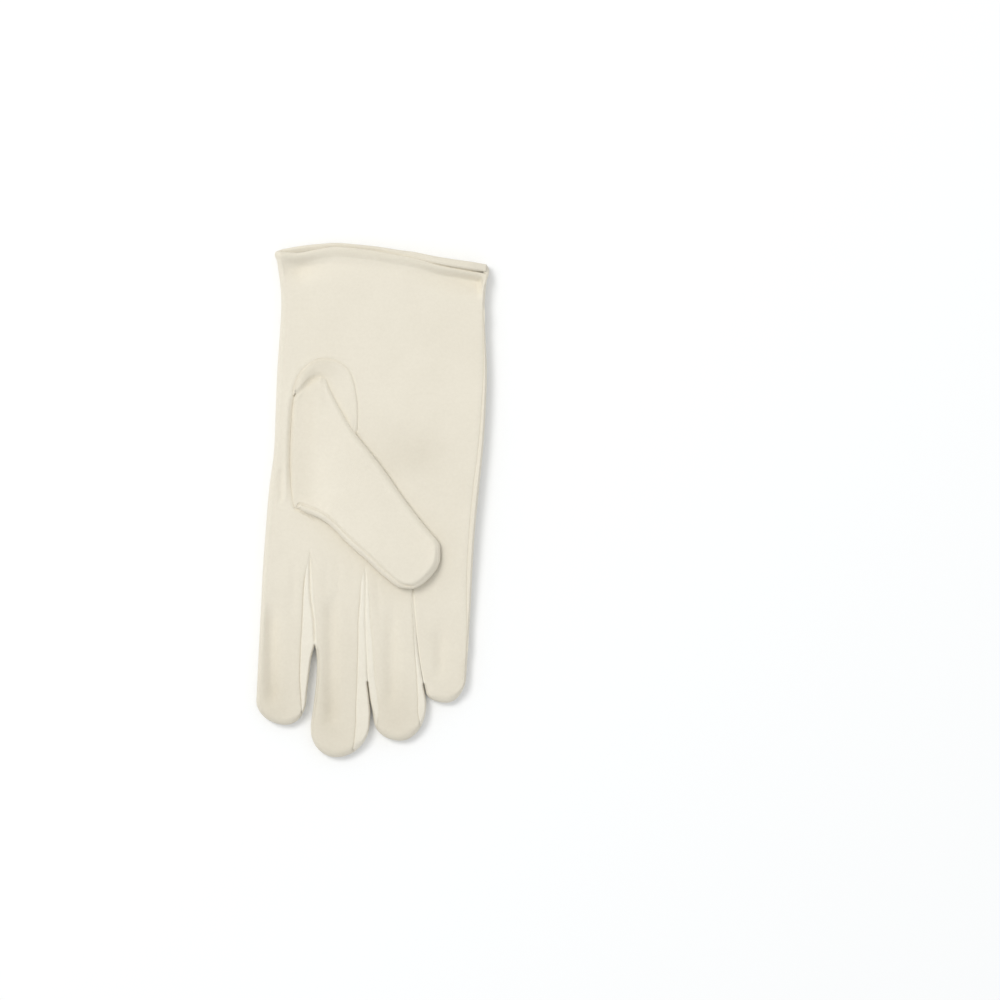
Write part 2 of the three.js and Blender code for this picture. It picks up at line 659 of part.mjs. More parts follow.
// The origin lies under the middle of the glove, on the surface it rests on
const middle = new THREE.Box3().setFromObject(glove).getCenter(new THREE.Vector3());
glove.position.set(-middle.x, -middle.y, 0);

export default glove;
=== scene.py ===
# A cotton dress glove that lies flat with its palm up, on a pale floor in soft light.
# Lengths are in metres. The fingers point along -Y, the open cuff along +Y, and the floor is at z = 0.

import bmesh
import bpy
import numpy as np
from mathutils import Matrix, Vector


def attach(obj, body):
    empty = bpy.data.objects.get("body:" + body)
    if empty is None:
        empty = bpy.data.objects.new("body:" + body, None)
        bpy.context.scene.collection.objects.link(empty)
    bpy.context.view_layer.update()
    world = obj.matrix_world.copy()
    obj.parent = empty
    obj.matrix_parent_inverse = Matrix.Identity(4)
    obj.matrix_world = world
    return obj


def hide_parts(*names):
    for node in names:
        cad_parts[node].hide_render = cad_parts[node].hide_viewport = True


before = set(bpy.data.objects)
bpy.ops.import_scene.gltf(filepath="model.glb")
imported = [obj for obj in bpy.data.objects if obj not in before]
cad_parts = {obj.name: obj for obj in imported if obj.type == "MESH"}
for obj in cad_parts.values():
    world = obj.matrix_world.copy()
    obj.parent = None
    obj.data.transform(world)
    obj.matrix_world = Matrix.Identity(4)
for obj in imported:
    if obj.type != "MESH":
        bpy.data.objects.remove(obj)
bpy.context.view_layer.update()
print("frame loaded with nodes", ", ".join(sorted(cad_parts)))

mm = 0.001
tiny = 1e-18
palmFace = 1
backFace = -1

# a finger's side is 0 on its left and 1 on its right, as the photo shows them
sideNames = ("left", "right")
bothSides = (0, 1)

# random hills: a seed for each kind, and the lattice that their heights stand on
seeds = {"wide": 3, "fine": 4, "back": 7, "thumb": 12, "rim": 15, "roll": 16}
latticeCells = 96
latticeStart = (40.3, 40.7)


def table(names, rows, plain=""):
    # rows of numbers as one array for each named column, in metres apart from the plain columns
    columns = zip(names.split(), np.array(rows, float).T)
    return {name: column * (1 if name in plain.split() else mm) for name, column in columns}


def mix(a, b, share):
    # a straight line from a to b
    return a + (b - a) * share


def smooth(value, start, length):
    # 0 before start, 1 a length further, and an S curve between
    t = np.clip((value - start) / length, 0, 1)
    return t * t * (3 - 2 * t)


def span(value, start, rise, end, fall):
    # an S curve up to 1 from start, and another down to 0 from end
    return smooth(value, start, rise) * (1 - smooth(value, end, fall))


def bell(value, width, middle=0):
    # 1 in the middle, and exp(-1) a width away from it
    return np.exp(-(((value - middle) / width) ** 2))


def quarterOval(t):
    # 0 to 1, steep at first and then level, as along a quarter of an oval
    return np.sqrt(1 - (1 - np.clip(t, 0, 1)) ** 2)


def steps(count):
    # the ends of that many equal parts of 0 to 1
    return np.linspace(0, 1, count + 1)


def crowded(count):
    # divisions that crowd towards both ends, where cloth turns over an edge
    return (1 - np.cos(np.pi * steps(count))) / 2


def read(rows, column, at):
    # a table's column read along its first one: a cubic line, with slopes from the rows on either side
    key = list(rows.values())[0]
    order = np.argsort(key)
    x, v = key[order], rows[column][order]
    xs, vs = np.pad(x, 1, "edge"), np.pad(v, 1, "edge")
    slope = (vs[2:] - vs[:-2]) / (xs[2:] - xs[:-2])
    i = np.clip(np.searchsorted(x, at, "right") - 1, 0, len(x) - 2)
    length = x[i + 1] - x[i]
    t = np.clip((at - x[i]) / length, 0, 1)
    bend = t * (1 - t) * length
    return mix(v[i], v[i + 1], t * t * (3 - 2 * t)) + bend * ((1 - t) * slope[i] - t * slope[i + 1])


def clouds(x, y, size, seed):
    # soft random hills: seeded heights from -1 to 1 on a lattice, joined by S curves
    lattice = np.random.default_rng(seeds[seed]).uniform(-1, 1, (latticeCells + 1, latticeCells + 1))
    u, v = x / size + latticeStart[0], y / size + latticeStart[1]
    i, j = np.floor(u).astype(int), np.floor(v).astype(int)
    s, t = smooth(u - i, 0, 1), smooth(v - j, 0, 1)
    i, j = i % latticeCells, j % latticeCells
    return mix(*(mix(lattice[i, j + k], lattice[i + 1, j + k], s) for k in (0, 1)), t)


# the hand's outline, in millimetres, and how far the back wraps over the little finger's side
sides = table("y left right wrap", [
    (114, -45.4, 53.7, 0.7),
    (105, -44.1, 53.1, 0.7),
    (97, -43.2, 52.2, 0.7),
    (88, -43.1, 51.8, 0.8),
    (60, -44.9, 52.8, 1.5),
    (40, -45.7, 52.2, 2),
    (23, -46.4, 51, 2.3),
    (5, -48.7, 49.2, 2.8),
    (-14, -50.3, 47.3, 2.6),
    (-33, -51.7, 46.1, 2.5),
    (-47, -52.4, 45.4, 2),
    (-56, -52.9, 44.9, 1.2),
    (-70, -53.6, 44, 0.8),
    (-95, -54.8, 42.4, 0.6),
])

# the gaps between the fingers: both edges, and how far each seam lies inside its edge
forkColumns = "y left leftSeam right rightSeam"
forks = [
    table(forkColumns, [
        (-24.2, -29.6, 0, -29.6, 0),
        (-37.3, -29.6, 2.5, -29.6, 1.3),
        (-46.6, -29.2, 3.6, -29.2, 1.5),
        (-56, -27.9, 5.3, -27.9, 1.1),
        (-61.5, -27.6, 5.9, -27.6, 1.2),
        (-67.5, -27.4, 6.5, -27.4, 1.1),
        (-71, -28.4, 5.6, -26.9, 1),
        (-74.6, -29.2, 4.9, -26.5, 1),
        (-83.9, -30.4, 3.9, -26.8, 1),
        (-93.2, -31.4, 2.3, -27.8, 0.9),
        (-104.9, -32, 1, -29.4, 0.8),
    ]),
    table(forkColumns, [
        (-31.2, -3.5, 0, -3.5, 0),
        (-37.3, -3.7, 1.8, -3.7, 1),
        (-46.6, -3.8, 2.4, -3.8, 1.8),
        (-56, -3.9, 3.1, -3.9, 2.4),
        (-65.2, -3.6, 3.5, -3.6, 3),
        (-72, -3.3, 4, -3.3, 3.2),
        (-83.9, -2.9, 4.7, -2.8, 3.6),
        (-93.2, -1.9, 6.1, -1.7, 3.8),
        (-98.8, -1.5, 6.7, -0.6, 3),
        (-104, -1.8, 6.4, 0.1, 1.4),
        (-116.5, -1.9, 7.5, 0.2, 0.8),
    ]),
    table(forkColumns, [
        (-36.3, 17.9, 0, 17.9, 0),
        (-46.6, 18.7, 0.8, 18.7, 0.6),
        (-56, 19.4, 0.9, 19.4, 0.6),
        (-65.2, 20.2, 1.2, 20.3, 0.6),
        (-74.6, 21.4, 1.8, 21.5, 0.6),
        (-83.9, 22.9, 2.6, 23.1, 0.7),
        (-93.2, 24.5, 3.8, 25, 0.7),
        (-98.8, 24.6, 3.9, 25.2, 0.8),
        (-104.4, 24.6, 2.8, 25.2, 0.8),
    ]),
]
# where each gap opens below its fork, the groove along it above that, how strongly its two seams show,
# and where the line between its two fingers would reach the cuff
slits = table("top groove grooveWidth left right atCuff", [
    (-68, 0.9, 0.55, 1, 0.25, -20.6),
    (-85, 0.45, 0.5, 0.7, 0.35, 4.1),
    (-86, 0.8, 0.6, 0.6, 0.3, 28.9),
], plain="left right")

# the cuff's rim on the palm side and on the back side, how far it lifts, and the valley below it
cuff = table("x palm back lift valley valleyAt", [
    (-45.9, 115.3, 116.5, 1.6, 0.5, 7),
    (-41.5, 115.2, 117.3, 1.6, 1, 7),
    (-34.3, 115, 118.5, 1.5, 3.2, 7),
    (-26, 116.5, 119.4, 1.4, 1.4, 7.4),
    (-17.9, 117.7, 119.9, 1.2, 0.6, 7.4),
    (-1.6, 116.2, 118.6, 1, 0.35, 6.4),
    (12.3, 113.9, 116.6, 0.7, 0.6, 5.4),
    (22, 112, 115, 0.3, 1.4, 5.6),
    (31, 109.4, 113.2, 0, 2.8, 5.2),
    (45, 106.9, 111.1, -0.8, 3.9, 4.8),
    (53.8, 105.2, 109.7, -0.6, 4.4, 5.2),
])

# how far the back's rim curls up behind the palm's: 1 is as high as the palm
cuffCurl = table("x curl", [
    (-45.9, 0.1),
    (-34.3, 0.35),
    (-17.9, 0.6),
    (-1.6, 0.7),
    (12.3, 0.85),
    (31, 1.1),
    (45, 1.3),
    (53.8, 1.3),
], plain="curl")

# index, middle, ring and little finger: the tip, its lowest place and the rounds on either side
tips = table("tip lowestX leftRound rightRound", [
    (-104.9, -40.5, 11.6, 11),
    (-120, -17.5, 13, 16),
    (-112.3, 12.3, 9.5, 17),
    (-94.6, 34, 4.5, 12),
])

# sizes of the cloth shape as a whole
shape = {
    "cloth": 1.0 * mm,
    "height": 9.5 * mm,
    "handRadius": 3.0 * mm,
    "shadeRadius": 0.8 * mm,
    "fingerRadius": 2.3 * mm,
    "litRadius": 2.6 * mm,
    "tipRadius": 3.6 * mm,
    "touchRadius": 1.0 * mm,
    "touchFade": (0.3 * mm, 1.2 * mm),
    "hairline": 0.02 * mm,
    "hairlineLength": 3 * mm,
    "fingersLower": 2.2 * mm,
    "handMiddle": 4.4 * mm,
    "fingerMiddle": 3.2 * mm,
    "knucklesFrom": 12 * mm,
    "knucklesLength": 50 * mm,
    "flareFrom": 1 * mm,
    "flareLength": 7 * mm,
    "flareBottom": 0.9 * mm,
    "leftCorner": 3.0 * mm,
    "rightCorner": 1.0 * mm,
    "outlineStep": 0.8 * mm,
    "tipPoints": 64,
    "tipReadings": 300,
    "tipBlend": 0.25,
}

# long troughs down the finger faces, where the empty cloth sinks
troughs = table("x start end width depth", [
    (-47.3, -44, -98, 3, 2.5),
    (-19.6, -40, -108, 3.2, 2),
    (8.4, -46, -98, 3, 1.4),
    (31, -54, -86, 2.8, 1.2),
])

# small folds of the palm's cloth, from one end to the other: depth below the cloth, or height if negative
folds = table("startX startY endX endY width depth", [
    (-43.1, 13, -43.2, 0, 0.9, 0.5),
    (-40.7, 16.5, -40.9, 0, 1, -0.4),
    (-33.6, -5.2, -27, -8.6, 0.45, 0.7),
    (-29.4, -24.7, -27.5, -31.2, 0.6, 0.3),
    (-28.2, -33, -28.9, -41, 0.9, 0.15),
    (-3.7, -31.7, -3.7, -36, 0.6, 0.25),
    (-15.8, -30, -17.5, -46, 1.6, 0.25),
    (-21, -30, -22.5, -44, 1.4, 0.2),
    (1.5, -38, 3.5, -60, 1.6, 0.25),
    (-36.5, -31, -38, -52, 1.8, 0.25),
])

# how far cloth turns in at a seam, over what width, how strongly at the outer seam, and its hidden stitches
seams = {
    "depth": 0.65 * mm,
    "width": 1.7 * mm,
    "stripWidth": 0.9 * mm,
    "pucker": 0.15,
    "outer": 0.55,
    "stitch": 2.6 * mm,
    "fadeIn": 14 * mm,
    "fadeOut": 1 * mm,
}


def fingerEdge(finger, side, y):
    # a finger's edge and how far the seam lies inside it; above the fork, a straight line to the cuff
    fork = finger - 1 + side
    if fork in (-1, 3):
        return read(sides, sideNames[side], y), side * read(sides, "wrap", y)
    rows = forks[fork]
    top = rows["y"][0]
    edge = sideNames[1 - side]
    above = mix(rows["left"][0], slits["atCuff"][fork], (y - top) / (cuff["palm"][0] - top))
    apart = shape["hairline"] * smooth(top - y, 0, shape["hairlineLength"]) * (1 - 2 * side)
    x = np.where(y >= top, above, read(rows, edge, y) + apart)
    return x, np.where(y >= top, 0, read(rows, edge + "Seam", y))


def edges(finger, y):
    # x of a finger's left edge and right edge
    return [fingerEdge(finger, side, y)[0] for side in bothSides]


def tipShape(finger):
    # a fingertip: its lowest row, its rounds on the left and right, and how far across the lowest place is
    tip, lowestX, leftRound, rightRound = (column[finger] for column in tips.values())
    left, right = fingerEdge(finger, 0, tip + leftRound)[0], fingerEdge(finger, 1, tip + rightRound)[0]
    return tip, leftRound, rightRound, (lowestX - left) / (right - left)


def tipLine(finger, across):
    # the rounded end of a finger, from two quarter ovals that meet at its lowest place
    tip, leftRound, rightRound, lowest = tipShape(finger)
    isLeft = across < lowest
    offset = np.where(isLeft, (lowest - across) / lowest, (across - lowest) / (1 - lowest))
    rounding = np.where(isLeft, leftRound, rightRound)
    return tip + rounding * (1 - np.sqrt(np.clip(1 - offset**2, 0, 1)))


def forkLine(finger, across):
    # the row where a finger's own cloth begins, between the forks on its two sides
    before = forks[max(finger - 1, 0)]["y"][0]
    after = forks[min(finger, 2)]["y"][0]
    return mix(before, after, across)


def edgeRadius(finger, side, y):
    # how wide the cloth turns over at a finger's edge: narrow on the side away from the light, and where
    # two fingers touch
    fork = finger - 1 + side
    if fork == 3:
        return np.full_like(y, shape["shadeRadius"])
    if fork == -1:
        fingerShare = smooth(-y, shape["knucklesFrom"], shape["knucklesLength"])
        return mix(shape["handRadius"], shape["fingerRadius"], fingerShare)
    gap = read(forks[fork], "right", y) - read(forks[fork], "left", y)
    apart = shape["shadeRadius" if side else "litRadius"]
    return mix(shape["touchRadius"], apart, smooth(gap, *shape["touchFade"]))


def makeOutline():
    # the outline from above: down the left, round each finger, and up the right to the cuff. Each point has
    # its x, its y and the radius of the turned cloth
    lines = []
    tops = np.pad(slits["top"], 1, constant_values=cuff["back"].max())
    across = crowded(shape["tipPoints"])[1:-1]
    for finger in range(4):
        tip, leftRound, rightRound, _ = tipShape(finger)
        starts, ends = tops[finger:finger + 2]
        down = np.linspace(starts, tip + leftRound, int(abs(starts - tip) / shape["outlineStep"]))
        up = np.linspace(tip + rightRound, ends, int(abs(ends - tip) / shape["outlineStep"]))
        roundEnd = tipLine(finger, across)
        leftRadius, rightRadius = edgeRadius(finger, 0, down), edgeRadius(finger, 1, up)
        atTip = smooth(np.minimum(across, 1 - across), 0, shape["tipBlend"])
        tipRadius = mix(mix(leftRadius[-1], rightRadius[0], across), shape["tipRadius"], atTip)
        lines += [
            np.stack([fingerEdge(finger, 0, down)[0], down, leftRadius], 1),
            np.stack([mix(*edges(finger, roundEnd), across), roundEnd, tipRadius], 1),
            np.stack([fingerEdge(finger, 1, up)[0], up, rightRadius], 1),
        ]
    return np.concatenate(lines)


placesAtOnce = 2000
onLine = 0.3 * mm


def nearestOn(line, x, y):
    # distance from each place to a line of points, the direction away from the nearest place on the line,
    # and where that is along it, counted in points
    shapeIn = np.shape(x)
    places = np.stack([np.ravel(x), np.ravel(y)], 1)
    start, step = line[:-1], np.diff(line, axis=0)
    square = np.maximum((step**2).sum(1), tiny)
    distance = np.empty(len(places))
    away = np.empty((len(places), 2))
    at = np.empty(len(places))
    for part in np.array_split(np.arange(len(places)), max(1, len(places) // placesAtOnce)):
        to = places[part, None] - start
        t = np.clip((to * step).sum(2) / square, 0, 1)
        off = to - t[..., None] * step
        size = (off**2).sum(2)
        best = size.argmin(1)
        row = np.arange(len(part))
        distance[part] = np.sqrt(size[row, best])
        at[part] = best + t[row, best]
        side = np.stack([-step[best, 1], step[best, 0]], 1) / np.sqrt(square[best])[:, None]
        near = distance[part, None] < onLine
        away[part] = np.where(near, side, off[row, best] / np.maximum(distance[part, None], tiny))
    return distance.reshape(shapeIn), away.reshape(*shapeIn, 2), at.reshape(shapeIn)


outline = makeOutline()


def skin(x, y, face):
    # cloth over or under the empty hand: half an oval beside the outline and flat further in. Gives the
    # places, the directions out of the cloth, its flat places and the distance from the outline
    rim = cuffRim(x, face)
    flare = 1 - smooth(rim - y, shape["flareFrom"], shape["flareLength"])
    knuckles = smooth(-y, shape["knucklesFrom"], shape["knucklesLength"])
    low = shape["flareBottom"] * flare
    high = shape["height"] + read(cuff, "lift", x) * flare - shape["fingersLower"] * knuckles
    middle = low + mix(shape["handMiddle"], shape["fingerMiddle"], knuckles)
    rise = np.where(face > 0, high - middle, middle - low)
    distance, away, at = nearestOn(outline[:, :2], x, y)
    radius = np.interp(at, np.arange(len(outline)), outline[:, 2])
    turn = np.arccos(1 - np.minimum(distance / radius, 1))
    z = middle + face * rise * np.sin(turn)
    slope = rise * np.cos(turn)
    normal = np.stack([-slope * away[..., 0], -slope * away[..., 1], face * radius * np.sin(turn)], -1)
    normal /= np.linalg.norm(normal, axis=-1, keepdims=True)
    girth = (np.pi / 2 - turn) * np.sqrt((radius**2 + rise**2) / 2) - (radius - np.minimum(distance, radius))
    flat = np.stack([x, y], -1) - away * girth[..., None]
    return np.stack([x, y, z], -1), normal, flat, distance


def lengthAcross(points):
    # how far each place lies along its row, from the row's start and from its end
    parts = np.linalg.norm(np.diff(points, axis=1), axis=2)
    along = np.concatenate([np.zeros((len(points), 1)), np.cumsum(parts, axis=1)], 1)
    return along, along[:, -1:] - along


def rowPlaces(finger, across, along, face):
    # a place's y: along runs from the cuff (0) to the fork (1) and on to the fingertip (2)
    start = cuffLine(finger, across, face)
    fork = forkLine(finger, across)
    return np.where(along <= 1, mix(start, fork, along), mix(fork, tipLine(finger, across), along - 1))


def cuffRim(x, face):
    # the cuff's rim, where the palm side and the back side meet round the two edges
    left, right = (sides[name][0] for name in sideNames)
    inward = np.clip(np.minimum((x - left) / shape["leftCorner"], (right - x) / shape["rightCorner"]), 0, 1)
    palmShare = (1 + face * np.sin(np.arccos(1 - inward))) / 2
    return mix(read(cuff, "back", x), read(cuff, "palm", x), palmShare)


def cuffLine(finger, across, face):
    # where the cloth runs in under the rolled hem
    return cuffRim(mix(*edges(finger, cuff["palm"][0]), across), face) - hem["tuck"]


# rows and columns of the hand and the fingers: how many, and how they crowd towards edges and seams
cloth = {
    "handRows": 140,
    "fingerRows": 110,
    "across": [34, 30, 30, 32],
    "wrap": 10,
    "ovalRings": 26,
    "ringFrom": 0.26,
    "ringTo": 0.93,
    "ringEven": 0.35,
    "hemCrowd": 0.35,
    "tipCrowd": 0.55,
    "edgeCrowd": 0.8,
    "seamedFrom": 0.8,
    "closingIn": 24,
    # painted shade at the oval seam, and how far from the seam it reaches
    "seamShade": 0.5,
    "shadeReach": 1 * mm,
}


def seamShare(finger, side, along):
    # the share across a finger at which each row meets the seam, found by closing in on it
    across = np.full(len(along), float(side))
    for _ in range(cloth["closingIn"]):
        y = rowPlaces(finger, across, along, palmFace)
        left, right = edges(finger, y)
        inset = np.clip(fingerEdge(finger, side, y)[1] / (right - left), 0, 0.5)
        across = mix(across, np.abs(side - inset), 0.5)
    return across[:, None]


def alongRows():
    # rows from the cuff to the fork, closer near the hem, and on to the tip, closer at the tip
    hand, finger = steps(cloth["handRows"]), steps(cloth["fingerRows"])[1:]
    toTip = mix(finger, np.sin(finger * np.pi / 2), cloth["tipCrowd"])
    return np.concatenate([mix(hand, hand**2, cloth["hemCrowd"]), 1 + toTip])


def acrossShares(finger, along):
    # shares across a column: crowded at every seam, and even over the hand between two fingers
    s = steps(cloth["across"][finger])
    towardsEdge = {0: 1 - np.cos(s * np.pi / 2), 3: np.sin(s * np.pi / 2)}.get(finger, s)
    over = mix(s, towardsEdge, cloth["edgeCrowd"])
    nearFork = smooth(along, cloth["seamedFrom"], 1 - cloth["seamedFrom"])[:, None]
    return mix(over, crowded(cloth["across"][finger]), nearFork)


def fingerColumn(finger, face):
    # one column of the glove from cuff to tip, between its two seams
    along = alongRows()
    across = mix(*(seamShare(finger, side, along) for side in bothSides), acrossShares(finger, along))
    y = rowPlaces(finger, across, along[:, None], face)
    return mix(*edges(finger, y), across), y, along


# the oval seam that the thumb is set into, once round from its lowest place
thumbOval = table("x y", [
    (-34.3, -4.2),
    (-23.1, 0),
    (-14.2, 13),
    (-9.1, 29.8),
    (-8.6, 46.6),
    (-12.8, 60.6),
    (-24, 64.8),
    (-33.3, 58.8),
    (-37.2, 46.6),
    (-38.5, 29.8),
    (-38.7, 14),
    (-37.5, -0.5),
])


def closedCurve(rows, count):
    # a smooth closed line through the rows: each stretch is a cubic with the neighbours' slope
    points = np.stack([rows["x"], rows["y"]], 1)
    i = np.arange(count) * len(points) // count
    t = (np.arange(count) * len(points) / count - i)[:, None]
    p0, p1, p2, p3 = (points[(i + k) % len(points)] for k in (-1, 0, 1, 2))
    square = 2 * p0 - 5 * p1 + 4 * p2 - p3
    cube = 3 * (p1 - p2) + p3 - p0
    return (2 * p1 + (p2 - p0) * t + square * t**2 + cube * t**3) / 2


ovalPoints = 480
oval = closedCurve(thumbOval, ovalPoints)
ovalCentre = oval.mean(0)
closedOval = np.concatenate([oval, oval[:1]])

# how deep and how wide the valley along the oval seam is, by its share of the way round
ovalLook = table("share depth width", [
    (0, 0.6, 0.8),
    (0.08, 0.3, 1.2),
    (0.2, 0.3, 2),
    (0.4, 0.3, 2),
    (0.46, 0.15, 1.2),
    (0.52, 0.12, 0.7),
    (0.57, 0.3, 0.8),
    (0.61, 0.5, 1),
    (0.65, 0.8, 1.1),
    (0.7, 1.3, 1.2),
    (0.78, 1.2, 1.2),
    (0.85, 0.8, 1.1),
    (0.93, 0.4, 0.9),
    (0.97, 0.8, 0.8),
    (1, 0.6, 0.8),
], plain="share")

# the narrow nick in that valley: its depth where the valley is as deep as stated, its width, its stitches
nick = {
    "depth": 0.12 * mm,
    "whereValley": 0.5 * mm,
    "width": 0.5 * mm,
    "pucker": 0.45,
}


def stitched(along, pucker=seams["pucker"]):
    # a little more and less than 1 in turn, once for each hidden stitch
    return 1 + pucker * np.sin(2 * np.pi * along / seams["stitch"])


def ovalRoll(x, y):
    # how far cloth sinks towards the oval seam, a soft valley with a narrow nick, and the distance from it
    distance, _, at = nearestOn(closedOval, x, y)
    depth, width = (read(ovalLook, name, at / ovalPoints) for name in ("depth", "width"))
    nickDepth = nick["depth"] * stitched(y, nick["pucker"]) * depth / nick["whereValley"]
    return depth * bell(distance, width) + nickDepth * (1 - quarterOval(distance / nick["width"])), distance


def ovalHeight(x, y):
    # how high the palm's cloth would be at the oval seam without its valley
    places, _, _, edge = skin(x, y, palmFace)
    return places[..., 2] + palmRelief(x, y, edge)


def ovalAt(angle):
    # the oval's place in a direction from its middle
    off = oval - ovalCentre
    turned = np.unwrap(np.arctan2(off[:, 1], off[:, 0]))
    order = np.argsort(np.mod(turned, 2 * np.pi))
    around = np.mod(turned, 2 * np.pi)[order]
    reach = np.linalg.norm(off, axis=1)[order]
    radius = np.interp(np.mod(angle, 2 * np.pi), around, reach, period=2 * np.pi)
    return ovalCentre + radius[..., None] * np.stack([np.cos(angle), np.sin(angle)], -1)


# the thumb's rows from its oval seam to its tip: both ends of each row, its bow and its height
thumbRows = table("lowX lowY highX highY bow height", [
    (-34.3, -4.2, -37.2, 47.5, -4, 0),
    (-33.4, -4.7, -34.3, 50.3, -3.2, 0.1),
    (-32.2, -5.4, -31.5, 53.4, -2.6, 0.3),
    (-31, -6, -28.7, 56, -2.2, 0.6),
    (-29.8, -6.5, -26.2, 57.7, -1.9, 1),
    (-28.4, -7, -23.9, 58.2, -1.8, 1.5),
    (-27, -7.6, -22.2, 56.6, -1.7, 2),
    (-25.5, -8.3, -20.6, 52.6, -1.6, 2.5),
    (-22.5, -10, -15.1, 41.9, -1.5, 3.8),
    (-18.9, -12.9, -8.6, 31.5, -1.4, 5),
    (-11, -21, 4, 15.6, -1.2, 6.1),
    (-3, -28, 14.7, 0.2, -0.8, 6.4),
    (4, -34.6, 24.3, -12.2, 0.2, 6.4),
    (11, -40, 30.4, -19.6, 1.2, 6.4),
    (15, -41.1, 31.2, -24, 1.6, 6.4),
    (18.5, -41.2, 31, -28.5, 2, 6.4),
])
lastRow = len(thumbRows["bow"]) - 1
thumbRows = {"row": np.arange(lastRow + 1.0), **thumbRows}

# where the cloth under the thumb turns back: the share across the thumb, the row at which it folds,
# and the place round the oval seam that this cloth comes from
thumbPleat = table("share row oval", [
    (0, 0, 0),
    (0.08, 5.2, 0.045),
    (0.17, 7.4, 0.085),
    (0.35, 8.3, 0.135),
    (0.55, 8.8, 0.185),
    (0.85, 9, 0.265),
    (0.91, 8.3, 0.36),
    (0.95, 6, 0.46),
    (0.98, 3, 0.56),
    (1, 0, 0.655),
], plain="share row oval")
ovalUpperEnd = thumbPleat["oval"][-1]

# sizes of the thumb. Two values are those at its low edge or its oval, and at its high edge or its tip.
# A name that ends in Rows or Across says between which rows, or shares across, a thing comes in: where an S
# curve starts and its length, and where it goes again. Bell is a width and a middle
thumb = {
    "rows": 170,
    "rowCrowd": 0.5,
    "across": 96,
    "patchRows": 24,
    "outlineRows": 220,
    "outlineAcross": 60,
    "grainAngle": np.radians(42),
    "bowPower": 2.5,
    "plainRows": (0, 1.6),
    "clearance": 0.3 * mm,
    "baseRows": (0, 0.8),
    "valleyRows": (0.8, 1.5),
    "dip": 1.7 * mm,
    "dipReach": 3.5 * mm,
    "dipRows": (1, 2, 5, 2),
    "dipAcross": (0.6, 0.3),
    "lift": 3.4 * mm,
    "liftRows": (0.3, 1.5, 7, 3),
    "liftAcross": (0, 0.12),
    "slope": 0.6,
    "slopeRows": (5, 3, 11.5, 2.5),
    "slopeAcross": (0.35, 0.6),
    "waist": (0.28, 0.05),
    "waistAcross": (0.4, 0.4),
    "radius": (4 * mm, 3 * mm),
    "radiusAcross": (0.3, 0.4),
    "tipRadius": 3.5 * mm,
    "tipRows": (11.5, 2.5),
    "underRadius": 3 * mm,
    "seamInset": (3.4 * mm, 2.3 * mm),
    "insetRows": (9, 4),
    "seamDepth": (1.1 * mm, 0.65 * mm),
    "depthRows": (4, 5),
    "seamWidth": 0.7 * mm,
    "seamFrom": 1 * mm,
    "seamRows": (0.2, 0.8, 14.2, 0.8),
    "tipSeam": 1.5 * mm,
    "tipSeamDepth": 0.6 * mm,
    "tipSeamRows": (12.5, 1.2),
    "ridge": 0.25 * mm,
    "ridgeWidth": 0.9 * mm,
    "highRidge": 0.3 * mm,
    "highRidgeBell": (1.6 * mm, 2.5 * mm),
    "hills": 0.25 * mm,
    "hillSize": 16 * mm,
    "hillsFrom": 4 * mm,
    "hillRows": (0.5, 2),
    # painted shade over the thumb's first rows, beside the oval's left side
    "startShade": 0.8,
    "startShadeRows": (3, 5),
    "fullWall": 2.2 * mm,
    "wallRows": (0, 3),
    "patchDrop": 0.15 * mm,
    "patchReach": 4 * mm,
    "patchRise": (0.15, 0.85),
    "patchThin": (0.5, 0.4),
    # painted shade on the patch, towards the pleat under the fold
    "pleatShadeAcross": (0.93, 0.04),
    "lip": 0.5 * mm,
    "lipDrop": 0.4 * mm,
}


def ovalAlong(share):
    # a place on the oval seam by its share of the way round
    at = np.mod(share, 1) * len(oval)
    return np.stack([np.interp(at, np.arange(len(closedOval)), closedOval[:, k]) for k in (0, 1)], -1)


def thumbPlace(row, share):
    # a place on the thumb seen from above: on a bowed line across it, which starts as the oval's left side
    row, share = np.broadcast_arrays(row, share)
    names = ("lowX", "lowY", "highX", "highY", "bow")
    lowX, lowY, highX, highY, bow = (read(thumbRows, name, row) for name in names)
    acrossX, acrossY = highX - lowX, highY - lowY
    width = np.hypot(acrossX, acrossY)
    push = bow * (1 - np.abs(2 * share - 1) ** thumb["bowPower"]) / width
    x = lowX + share * acrossX + acrossY * push
    y = lowY + share * acrossY - acrossX * push
    left = ovalAlong(1 - share * (1 - ovalUpperEnd))
    return mix(left, np.stack([x, y], -1), smooth(row, *thumb["plainRows"])[..., None])


def makeThumbOutline():
    # round the thumb from its oval seam: down the low edge, round the tip and back along the high edge
    rows = np.linspace(0, lastRow, thumb["outlineRows"])
    tip = thumbPlace(lastRow, steps(thumb["outlineAcross"])[1:-1])
    return np.concatenate([thumbPlace(rows, 0.0), tip, thumbPlace(rows[::-1], 1.0)])


thumbOutline = makeThumbOutline()


def insideLine(line, x, y):
    # whether each place is inside a closed line: it is if a ray from it crosses the line an odd number of
    # times
    closed = np.concatenate([line, line[:1]])
    inside = np.zeros(np.shape(x), bool)
    for (ax, ay), (bx, by) in zip(closed[:-1], closed[1:]):
        if ay != by:
            inside ^= ((ay > y) != (by > y)) & (x < ax + (y - ay) * (bx - ax) / (by - ay))
    return inside


